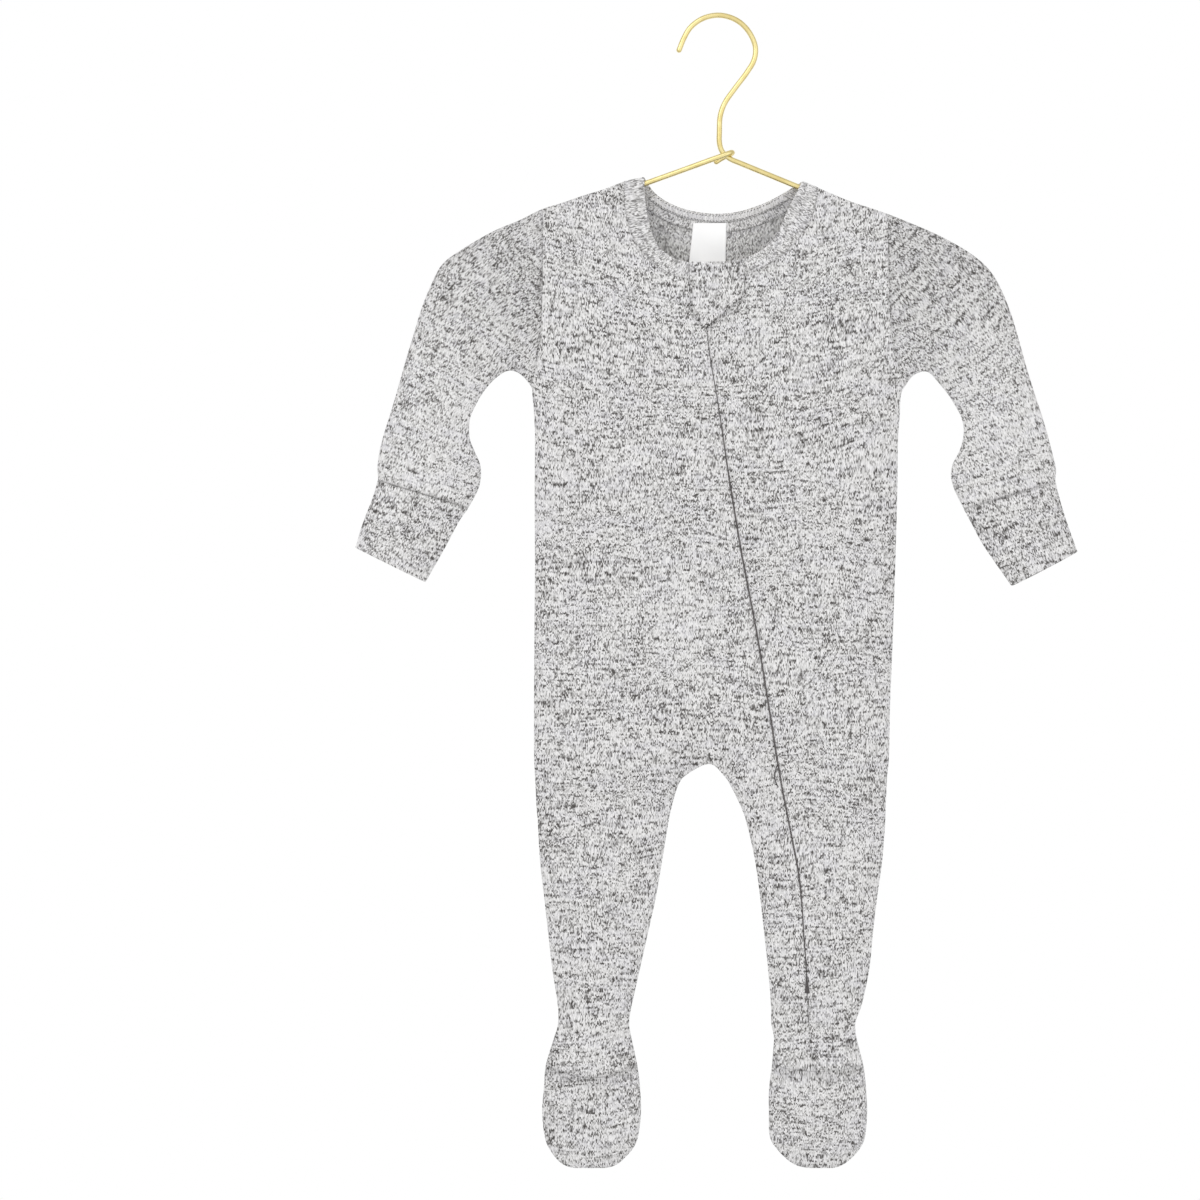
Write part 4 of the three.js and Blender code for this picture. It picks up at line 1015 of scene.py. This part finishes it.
def cuff(side, name, node, seamName):
    length = (cuffEndRing - cuffSeamRing) * cuffs["perRing"] - cuffs["seamGap"]
    distances = np.append(np.linspace(length, cuffs["bend"], cuffs["rows"]), cuffs["nearFold"])
    patch = foldedPatch(
        distances, lambda at: ringNet(side, cuffEndRing - at / cuffs["perRing"]), named([seamName]))
    return makePiece(name, closedWall([patch]), [foldedKnit], node, [seamName])


cuffLeft = cuff(-1, "cuffLeft", "cuff_left", "cuffLeft")
cuffRight = cuff(1, "cuffRight", "cuff_right", "cuffRight")


feet = {"rowLength": 15}  # millimetres from one row of the legs' table to the next, there


# A foot top (face -1) or a sole (face 1), from its seam row to the toes.
def footHalf(side, face, seamRow, name, node, seamName):
    rows = legStepsTo(toeRow, seamRow + body["seamGap"] / feet["rowLength"])
    points = between(outsideLegOf(side, rows), insideLegOf(side, rows), legSteps)
    return panel(name, [onFace(bowed(points, side) if face < 0 else points, face)], node, seamName)


footTopLeft = footHalf(-1, -1, instepRow, "footTopLeft", "foot_top_left", "instepLeft")
footTopRight = footHalf(1, -1, instepRow, "footTopRight", "foot_top_right", "instepRight")
soleLeft = footHalf(-1, 1, heelRow, "soleLeft", "sole_left", "heelLeft")
soleRight = footHalf(1, 1, heelRow, "soleRight", "sole_right", "heelRight")


# The band runs from the zip over the left shoulder, round the back and down to the zip again, and is folded at
# its free edge. Its grain turns with it: its rows run along the band.
def bandNet(widths):
    parts = [
        (leftNeck, frontNeckSteps[::-1], -1), (rearNeck, backNeckSteps[1:], 1),
        (rightNeck, frontNeckSteps[1:], -1)]
    seamPoints, edgePoints = (np.concatenate([line[k](share) for line, share, side in parts]) for k in (0, 1))
    sides = np.concatenate([np.full(len(share), float(side)) for line, share, side in parts])
    leftTip = len(frontNeckSteps) - 1
    sides[[leftTip, leftTip + len(backNeckSteps) - 1]] = 0
    points = seamPoints + (edgePoints - seamPoints) * widths[:, None, None]
    along = np.append(0, np.cumsum(np.hypot(*np.diff(seamPoints, axis=0).T)))
    return asNet(points, sides, along + patternAt["band"], 0)


band = {"width": 11.6, "bend": 3, "rows": 9, "nearFold": [2, 1.3, 0.9]}


# Its pattern's rows run on over the fold, and what lies behind the fold takes the look of the inside.
def neckBand():
    distances = np.append(np.linspace(band["width"] - 0.1, band["bend"], band["rows"]), band["nearFold"])
    names = ("neckLeft", "neckRight", "neckBack")
    patch = foldedPatch(distances, lambda at: bandNet(1 - at / band["width"]), named(names))
    patch[2][..., 1] = np.cumsum(np.append(0, np.abs(np.diff(foldedRows(distances)[0]))))[:, None]
    points, triangles, cornerUv = closedWall([patch])[:3]
    looks = (cornerUv[..., 1].mean(1) > band["width"] + 1).astype(int)
    shell = points, triangles, cornerUv, looks
    return makePiece("neckBand", shell, [bandKnit, insideKnit], "neck_band", names)


neckBandPiece = neckBand()

insideBand = 2 * fold["layer"] + fold["gap"] - fold["raise"] + body["clear"]
tape = {
    "width": 5.5,
    "bandWidth": 12,
    "thick": 0.9,
    "start": 0.06,  # share of the band's width above it
    "ends": 0.12,  # share of the back's neck line left free at each end
    "thinned": 0.35,  # how much thinner it is at its two edges
}


# The back's neck seam and free edge, without a share of them at each end.
def tapeLines(ends):
    shares = backNeckSteps[(backNeckSteps > ends) & (backNeckSteps < 1 - ends)]
    return rearNeck[0](shares), rearNeck[1](shares)


# A strip inside the back of the neck, thinner at its edges by thinned * t^4, t across it from -1 to 1.
def neckTape():
    seamPoints, edgePoints = tapeLines(tape["ends"])
    widths = np.linspace(tape["start"], tape["width"] / tape["bandWidth"], 10)
    net = onFace(between(edgePoints, seamPoints, widths), 1)
    thinned = tape["thinned"] * (2 * steps(9) - 1) ** 4
    patch = clothPatch(net, insideBand, insideBand + tape["thick"] - thinned[None])
    return makePiece("neckTape", closedWall([patch]), [tapeKnit], "neck_tape")


neckTapePiece = neckTape()

label = {
    "rows": np.array([(130.2, -16.9, 4.4), (139, -17.9, 4.3), (148, -18.9, 4.2), (156.4, -19.8, 4.1)]),
    "thick": 0.45,
    "clear": 0.05,
    "lift": 0.5,  # how far the free lower edge stands off the back
    "ripple": 0.06,
    "hem": 0.12,  # how much thicker it is at its upper and lower hem, each by its place and width as shares
    "hems": [(0.06, 0.03), (0.96, 0.02)],
}


# A woven label: its lower edge stands off by lift * share^2, more at one side.
def labelPatch():
    rows = label["rows"]
    down = np.linspace(rows[0, 0], rows[-1, 0], 30)
    left, right = (np.interp(down, rows[:, 0], rows[:, k]) for k in (1, 2))
    net = onFace(between(flatPoints(left, down), flatPoints(right, down), steps(26)), 1)
    share = steps(29)[:, None]
    across = steps(26)[None]
    hem = label["hem"] * sum(np.exp(-((share - place) / width) ** 2) for place, width in label["hems"])
    lift = label["lift"] * share ** 2 * (0.6 + 0.4 * np.cos(np.pi * (across - 0.3)))
    lift = lift + label["ripple"] * np.sin(9 * across + 4 * share)
    depth = insideBand + label["clear"] + lift
    patch = clothPatch(net, depth, depth + label["thick"] + hem)
    return makePiece("neckLabel", closedWall([patch]), [glowingLabelCloth], "label")


neckLabel = labelPatch()

guard = {
    "rows": np.array([  # down, left, right
        (157.4, -19.5, 14.4), (160.5, -19.6, 14.7), (165, -19.6, 14.8), (170, -19.6, 14.8),
        (175, -19.5, 14.5), (179.2, -19.4, 13.2), (184, -18.9, 8), (189, -17.6, 2.4), (194, -14.7, -3.3),
        (197.6, -11.6, -7.4), (198.8, -10.2, -8.8)]),
    "bump": {"down": 179, "halfWidth": 9, "halfHeight": 20, "rise": 2.2},
    "clear": 0.3,
    "leaf": 0.85,
    "leafGap": 0.1,
    "curl": 0.9,  # how much further its lower right edge stands off, over what width and from where
    "curlWidth": 4,
    "curlFrom": (168, 184),
    "rounded": 0.3,
    "stitched": 0.28,  # depth of the line of stitches
    "stitchedAt": 2.2,
}


# The flap stands off the fronts by a rounded bump over the slider, 1 in its middle and 0 at its rim. Its
# upper leaf is thinner at the rim and along the stitches, by bells of the distance to the edge.
def guardFlap():
    rows, leaf, leafGap, bump = (guard[key] for key in ("rows", "leaf", "leafGap", "bump"))
    down, left, right = alongSpline(rows, np.arange((len(rows) - 1) * 4 + 1) / 4).T
    net = onFace(between(flatPoints(left, down), flatPoints(right, down), closeAtBoth(36)), -1)
    toLeft, toRight = net[..., 0] - left[:, None], right[:, None] - net[..., 0]
    offX = (net[..., 0] - zipX(bump["down"])) / bump["halfWidth"]
    offZ = (net[..., 1] + bump["down"]) / bump["halfHeight"]
    rise = fold["raise"] + guard["clear"] + bump["rise"] * smoothStep(1 - offX ** 2 - offZ ** 2, 0, 0.55)
    curl = guard["curl"] * np.exp(-(toRight / guard["curlWidth"]) ** 2)
    rise = rise + curl * smoothStep(-net[..., 1], *guard["curlFrom"])
    toEdge = np.minimum(np.minimum(toLeft, toRight), (rows[-1, 0] - down)[:, None] + 0.2)
    thinned = guard["rounded"] * np.exp(-toEdge / 0.5)
    thinned = thinned + guard["stitched"] * np.exp(-(((toEdge - guard["stitchedAt"]) / 0.5) ** 2))
    under = closedWall([clothPatch(net, -rise - leaf, -rise)])
    top = closedWall([clothPatch(net, -rise - 2 * leaf - leafGap + thinned, -rise - leaf - leafGap)])
    return makePiece("chinGuard", together(under, top), [greyKnit], "chin_guard")


chinGuard = guardFlap()


# A strip of the front along the zip, with half a width for each distance down.
def zipStrip(downs, halves, count):
    x = zipX(downs)
    return onFace(between(flatPoints(x - halves, downs), flatPoints(x + halves, downs), steps(count)), -1)


# Two flat strips under the fronts, on either side of the zip's line.
def zipTape():
    downs = np.linspace(zipper["top"] + 1, zipper["end"] + 6, 260)
    depth = body["cloth"] + body["clear"] + zipper["tapeClear"]
    x = zipX(downs)
    shells = []
    for side in (-1, 1):
        near = flatPoints(x + side * zipper["tapeStart"], downs)
        far = flatPoints(x + side * zipper["tapeHalf"], downs)
        net = onFace(between(near, far, steps(8)), -1)
        shells.append(closedWall([clothPatch(net, depth, depth + zipper["tapeThick"])]))
    return makePiece("zipTape", together(*shells), [zipCloth], "zip_tape")


zipTapePiece = zipTape()


# Copies of one small closed shape, each in its own directions, as one shell.
def repeated(shape, centres, *axes):
    points, triangles = shape
    placed = centres[:, None]
    for k, axis in enumerate(axes):
        placed = placed + points[None, :, k:k + 1] * axis[:, None]
    faces = triangles[None] + (np.arange(len(centres)) * len(points))[:, None, None]
    return plainShell(placed.reshape(-1, 3), faces.reshape(-1, 3))


# A shell of one look whose pattern follows x and z.
def plainShell(points, triangles):
    return points, triangles, points[triangles][..., [0, 2]], np.zeros(len(triangles), int)


# The closed skin over rings of points. Each end is a fan from its ring's first point, or from its tip.
def skin(rings, tips=None):
    count, sides = rings.shape[:2]
    index = np.arange(count * sides).reshape(count, sides)
    turned = np.roll(index, -1, 1)
    points = rings.reshape(-1, 3)
    walls = [np.stack([index[:-1], turned[:-1], turned[1:]], -1),
             np.stack([index[:-1], turned[1:], index[1:]], -1)]
    if tips is None:
        ends = [np.stack([np.full(sides - 2, ring[0]), ring[1:-1], ring[2:]], 1)
                for ring in (index[0][::-1], index[-1])]
    else:
        first, last = np.full(sides, count * sides), np.full(sides, count * sides + 1)
        points = np.vstack([points, tips])
        ends = [np.stack([first, turned[0], index[0]], 1), np.stack([last, index[-1], turned[-1]], 1)]
    triangles = np.concatenate([part.reshape(-1, 3) for part in walls + ends])
    return points, triangles[:, ::-1] if insideOut(points, triangles) else triangles


# Rings of points about a line: centre + radius * (across * cos(angle) + up * sin(angle)).
def ringsAbout(line, radii, across, up, sides):
    angle = np.arange(sides)[:, None] * 2 * np.pi / sides
    spokes = across[:, None] * np.cos(angle) + up[:, None] * np.sin(angle)
    return line[:, None] + radii[:, None, None] * spokes


# A rounded bar along its first direction: six rings whose size follows a half ellipse at each end.
def roundedBar(half, thick, sides=6):
    at = np.array([-1, -0.93, -0.75, 0.75, 0.93, 1]) * half
    size = np.array([0.35, 0.75, 1, 1, 0.75, 0.35]) * thick
    angle = np.arange(sides) * 2 * np.pi / sides
    around = [np.outer(size, turn(angle)) for turn in (np.cos, np.sin)]
    return skin(np.stack([np.repeat(at[:, None], sides, 1)] + around, -1))


# Places on one side of the cloth's outer face, and the direction in which the face looks there.
def onCloth(points, side):
    return (part[:, 0] for part in clothSurface(onFace(points[:, None], side), 0.1))


# Unit directions along a line on the cloth and across it, where across = along x outwards.
def directions(line, outwards):
    along = np.gradient(line, axis=0)
    along /= np.linalg.norm(along, axis=1)[:, None]
    across = np.cross(along, outwards)
    return along, across / np.linalg.norm(across, axis=1)[:, None]


# Teeth set by turns to the left and the right of the zip's line.
def zipCoil():
    count = int((zipper["end"] - zipper["top"] - 2) / zipper["toothStep"] * 2)
    downs = np.linspace(zipper["top"] + 1, zipper["end"] - 1, count)
    side = np.where(np.arange(count) % 2, 1.0, -1.0)
    base, outwards = onCloth(flatPoints(zipX(downs), downs), -1)
    along, across = directions(base, outwards)
    centres = base - outwards * zipper["sunk"] + across * (side * zipper["toothAside"])[:, None]
    tooth = roundedBar(zipper["toothReach"], zipper["toothThick"])
    return makePiece("zipCoil", repeated(tooth, centres, across, along, outwards), [coilNylon])


zipCoilPiece = zipCoil()

stitch = {
    "rows": [(1.5, 0.5), (4.8, -0.35)],  # distance below the band's free edge, and slant in radians
    "pitch": 2.1,
    "unrest": 0.25,  # how far a stitch strays along its row
    "half": 0.62,
    "thick": 0.17,
    "sunk": 0.1,
}


# Short bars of thread along a line of x, z points under the back: every pitch, slanting a little.
def stitchRow(line, depth, slant):
    lengths = np.append(0, np.cumsum(np.hypot(*np.diff(line, axis=0).T)))
    at = np.arange(stitch["pitch"] / 2, lengths[-1], stitch["pitch"])
    at = at + stitch["unrest"] * np.sin(at * 2.3)
    base, outwards = onCloth(np.stack([np.interp(at, lengths, line[:, k]) for k in (0, 1)], 1), 1)
    along, across = directions(base, outwards)
    leaning = along * np.cos(slant) + across * np.sin(slant)
    centres = base - outwards * (depth + stitch["sunk"])
    bar = roundedBar(stitch["half"], stitch["thick"])
    return repeated(bar, centres, leaning, np.cross(outwards, leaning), outwards)


def tapeStitches():
    seamPoints, edgePoints = tapeLines(tape["ends"] + 0.01)
    depth = insideBand + tape["thick"]
    rows = [stitchRow(mix(edgePoints, seamPoints, width / tape["bandWidth"]), depth, slant)
            for width, slant in stitch["rows"]]
    return makePiece("tapeStitches", together(*rows), [darkThread])


tapeStitchesPiece = tapeStitches()

thread = {  # a loose end of sewing thread beside the zip: x, down, height over the cloth
    "path": np.array([
        (36.1, 477.5, -0.2), (35.1, 480.5, 0.3), (34.5, 484.5, 0.35), (34.9, 487.5, 0.35), (36.2, 490.6, 0.3),
        (36.9, 491.8, -0.2)]),
    "radius": 0.3,
}


# A round thread on the front, thinner towards its ends by sqrt(1 - t^8).
def looseThread():
    rows = np.arange((len(thread["path"]) - 1) * samplesPerRow + 1) / samplesPerRow
    x, down, over = alongSpline(thread["path"], rows).T
    base, outwards = onCloth(flatPoints(x, down), -1)
    line = base + outwards * (over[:, None] + thread["radius"])
    along, across = directions(line, outwards)
    radii = thread["radius"] * np.sqrt(np.clip(1 - np.abs(2 * steps(len(line) - 1) - 1) ** 8, 0.05, 1))
    rings = ringsAbout(line, radii, across, np.cross(across, along), 8)
    return makePiece("looseThread", plainShell(*skin(rings)), [darkThread])


looseThreadPiece = looseThread()

# Rows of down and half width, then thickness, distance to the cloth and depth of a hollow near the lower end.
metal = {
    "slider": (
        np.array([(170.2, 2), (171, 3), (174, 3.6), (177.4, 3.1), (178.4, 2.2)]), 2, body["clear"], 0.25),
    "pull": (
        np.array([(178.8, 1.2), (179.4, 1.6), (187, 2.2), (190.2, 2), (191, 1.2)]), 1.1, body["clear"], 0.5),
    "stop": (np.array([(612, 0.35), (616, 0.7), (620.2, 1.3), (623, 1.5)]), 0.7, 0.1, 0),
    "rim": 0.45,  # share of the thickness at the rim
    "columns": 16,
}


# A domed strip along the zip: sqrt(1 - across^3) * sqrt(1 - ends^6) raises it from its rim, and a flat bell
# makes the hollow.
def domed(name, sizes, material, node):
    rows, thick, clear, hollow = sizes
    at = np.arange((len(rows) - 1) * samplesPerRow + 1) / samplesPerRow
    downs, halves = alongSpline(rows, at).T
    net = zipStrip(downs, halves, metal["columns"])
    across = np.abs(2 * steps(metal["columns"]) - 1)[None]
    lengthwise = (2 * steps(len(at) - 1) - 1)[:, None]
    dome = np.sqrt(np.clip(1 - across ** 3, 0, 1)) * np.sqrt(np.clip(1 - np.abs(lengthwise) ** 6, 0, 1))
    dome = dome - hollow * np.exp(-((across / 0.45) ** 4) - (((lengthwise - 0.55) / 0.22) ** 4))
    height = thick * (metal["rim"] + (1 - metal["rim"]) * dome)
    patch = clothPatch(net, -clear - height, -clear + np.zeros_like(dome))
    return makePiece(name, closedWall([patch]), [material], node)


zipSlider = domed("zipSlider", metal["slider"], sliderMetal, "zip_slider")
zipPull = domed("zipPull", metal["pull"], sliderMetal, "zip_pull")
zipStop = domed("zipStop", metal["stop"], stopMetal, "zip_stop")

wire = {
    "radius": 1.7,
    "sides": 20,
    "hook": np.array([
        (-26.2, 0, -20.6), (-23, 0, -12.8), (-18.8, 0, -6), (-10.6, 0, -0.2), (0, 0, 1.7), (10.8, 0, -1.6),
        (18.4, 0, -8.8), (22.6, 0, -18.6), (21.8, 0, -26.9), (17.3, 0, -34.8), (9.8, 0, -44.8),
        (2.9, 0, -54.8),
        (0.1, 0, -63), (-0.4, 0, -73), (-0.4, 0, -79.6), (1.2, 0, -85.2), (6.2, 0, -90), (13, 0, -93)]),
    "winding": np.array([
        (-44, 0, -104.6), (-22, -1.6, -96.9), (-6, -3.5, -91.3), (0.6, -3.9, -89), (5, -3.6, -87.3),
        (7, -2.2, -86.5), (7.8, 0, -86.3), (7, 2.2, -86.8), (4.6, 3.7, -87.8), (0.8, 4, -89.6),
        (-2.2, 3.8, -91.6)]),
    "right": (126, -154.4, 22.4),  # centre x and z of the arm's round end, and the arm's slope in degrees
    "left": (-126, -148.2, 19.2),
    "endRadius": 14,
    "perSpan": 8,  # points for each span of the hook and the winding
    "endRings": 6,
}


# Catmull-Rom line whose knots are the square roots of the distances between points.
def evenSpline(points, perSpan):
    ends = np.vstack([2 * points[0] - points[1], points, 2 * points[-1] - points[-2]])
    gaps = np.sqrt(np.linalg.norm(np.diff(ends, axis=0), axis=1))
    before, here, after = gaps[:-2, None], gaps[1:-1, None], gaps[2:, None]
    a, b, c, d = ends[:-3], ends[1:-2], ends[2:-1], ends[3:]
    startSlope = ((b - a) / before - (c - a) / (before + here) + (c - b) / here) * here
    endSlope = ((c - b) / here - (d - b) / (here + after) + (d - c) / after) * here
    t = (np.arange(perSpan) / perSpan)[None, :, None]
    b, c, startSlope, endSlope = (part[:, None] for part in (b, c, startSlope, endSlope))
    cubic = 2 * (b - c) + startSlope + endSlope
    line = b + t * (startSlope + t * (3 * (c - b) - 2 * startSlope - endSlope + t * cubic))
    return np.vstack([line.reshape(-1, 3), points[-1:]])


# The round end of an arm, as 33 points of a circle from one angle to another.
def armEnd(arm, start, end):
    angle = np.radians(np.linspace(start, end, 33))
    x, z = arm[0] + wire["endRadius"] * np.cos(angle), arm[1] + wire["endRadius"] * np.sin(angle)
    return np.stack([x, 0 * angle, z], 1)


# A round profile carried along a path without twisting: at each point the last sideways direction loses its
# part along the path. Both ends are rounded.
def hangerWire():
    left, right, radius = wire["left"], wire["right"], wire["radius"]
    under = -90 - math.degrees(math.atan2(left[1] - right[1], right[0] - left[0]))
    path = np.vstack([
        evenSpline(wire["hook"], wire["perSpan"]), armEnd(right, 90 - right[2], under),
        armEnd(left, under, left[2] - 270), evenSpline(wire["winding"], wire["perSpan"])])
    direction = np.gradient(path, axis=0)
    direction /= np.linalg.norm(direction, axis=1)[:, None]
    ends = np.cos(np.linspace(0.15, np.pi / 2, wire["endRings"]))
    starts = path[0] - np.outer(ends, direction[0]) * radius
    stops = path[-1] + np.outer(ends[::-1], direction[-1]) * radius
    line = np.vstack([starts, path[1:-1], stops])
    shrunk = np.sqrt(1 - ends ** 2)
    radii = radius * np.concatenate([shrunk, np.ones(len(path) - 2), shrunk[::-1]])
    repeats = np.ones(len(path), int)
    repeats[[0, -1]] = wire["endRings"]
    direction = np.repeat(direction, repeats, 0)
    sideways = np.zeros_like(line)
    side = np.array([0.0, 1.0, 0.0])
    for index, along in enumerate(direction):
        side = side - along * (side @ along)
        side /= np.linalg.norm(side)
        sideways[index] = side
    rings = ringsAbout(line, radii, sideways, np.cross(direction, sideways), wire["sides"])
    shell = plainShell(*skin(rings, line[[0, -1]]))
    return makePiece("hangerWire", shell, [goldWire], "hanger")


hangerPiece = hangerWire()

studio = {
    "camera": (-0.0768, -2.133, -0.3725),
    "lens": 100,
    "aim": (0.0, 0.0, -0.37),  # where both lamps point
    "sky": 0.95,  # strength of the room's light from in front and behind, and from the sides
    "sides": 0.6,
    "turn": (0.1, 0.8),  # |y| of a direction that is still a side, and of one that is fully front or back
    "key": (18, 2.2, (-1.6, -2.2, 1.3)),  # watts, size and place of the soft light from the upper left
    "fill": (7, 2.6, (1.9, -2.0, -0.2)),
    "floor": {"down": 1.06, "radius": 0.62, "middle": 0.15, "sides": 96, "rings": 6, "roughness": 0.7},
}


# A square lamp, turned so that its -Z axis points at the aim.
def areaLight(name, power, size, place):
    data = bpy.data.lights.new(name, "AREA")
    data.energy = power
    data.size = size
    lamp = bpy.data.objects.new(name, data)
    lamp.location = place
    away = np.array(place) - studio["aim"]
    lean = math.atan2(math.hypot(away[0], away[1]), away[2])
    lamp.rotation_euler = (lean, 0, math.atan2(away[1], away[0]) + math.pi / 2)
    bpy.context.scene.collection.objects.link(lamp)


# The room is white to look at. As light it goes from sides to sky with |y| of the direction.
def paleRoom():
    world = bpy.data.worlds.new("paleRoom")
    make = Finish(world)
    facing = make.parts(make.node("ShaderNodeTexCoord", {}, {}))[1].math("ABSOLUTE")
    low, high = studio["turn"]
    levels = {0: facing, 1: low, 2: high, 3: studio["sides"], 4: studio["sky"]}
    lit = make.node("ShaderNodeMapRange", {}, levels)
    strength = lit.math("MAXIMUM", make.node("ShaderNodeLightPath", {}, {}))
    light = make.node("ShaderNodeBackground", {}, {0: (1, 1, 1, 1), 1: strength})
    make.node("ShaderNodeOutputWorld", {}, {0: light})
    bpy.context.scene.world = world


areaLight("keyLight", *studio["key"])
areaLight("fillLight", *studio["fill"])
paleRoom()
bpy.context.scene.view_settings.view_transform = "Standard"


# A round floor: rings of quads about a many-sided middle.
def floorDisc():
    disc = studio["floor"]
    count, rings = disc["sides"], disc["rings"]
    angle = np.arange(count) * 2 * np.pi / count
    radius = np.linspace(disc["middle"], 1, rings) * disc["radius"]
    points = np.stack([np.outer(radius, np.cos(angle)).ravel(), np.outer(radius, np.sin(angle)).ravel(),
                       np.full(count * rings, -disc["down"])], 1)
    index = np.arange(count * rings).reshape(rings, count)
    turned = np.roll(index, -1, 1)
    quads = np.stack([index[:-1], index[1:], turned[1:], turned[:-1]], -1).reshape(-1, 4)
    mesh = bpy.data.meshes.new("floor")
    mesh.from_pydata(points.tolist(), [], quads.tolist() + [index[0].tolist()])
    floor = bpy.data.objects.new("floor", mesh)
    bpy.context.scene.collection.objects.link(floor)
    make = Finish(bpy.data.materials.new("floorPaint"))
    grain = make.noise(make.solid(4), 2.0, 0.5, "3D")
    paint = make.blend(grain, colour(246, 246, 246), colour(240, 240, 240))
    mesh.materials.append(make.close(paint, disc["roughness"]))


floorDisc()

cameraData = bpy.data.cameras.new("camera")
cameraData.lens = studio["lens"]
cameraData.sensor_width = 36
cameraObject = bpy.data.objects.new("camera", cameraData)
cameraObject.location = studio["camera"]
cameraObject.rotation_euler = (math.pi / 2, 0, 0)
bpy.context.scene.collection.objects.link(cameraObject)
bpy.context.scene.camera = cameraObject
print("room, lights and camera made")
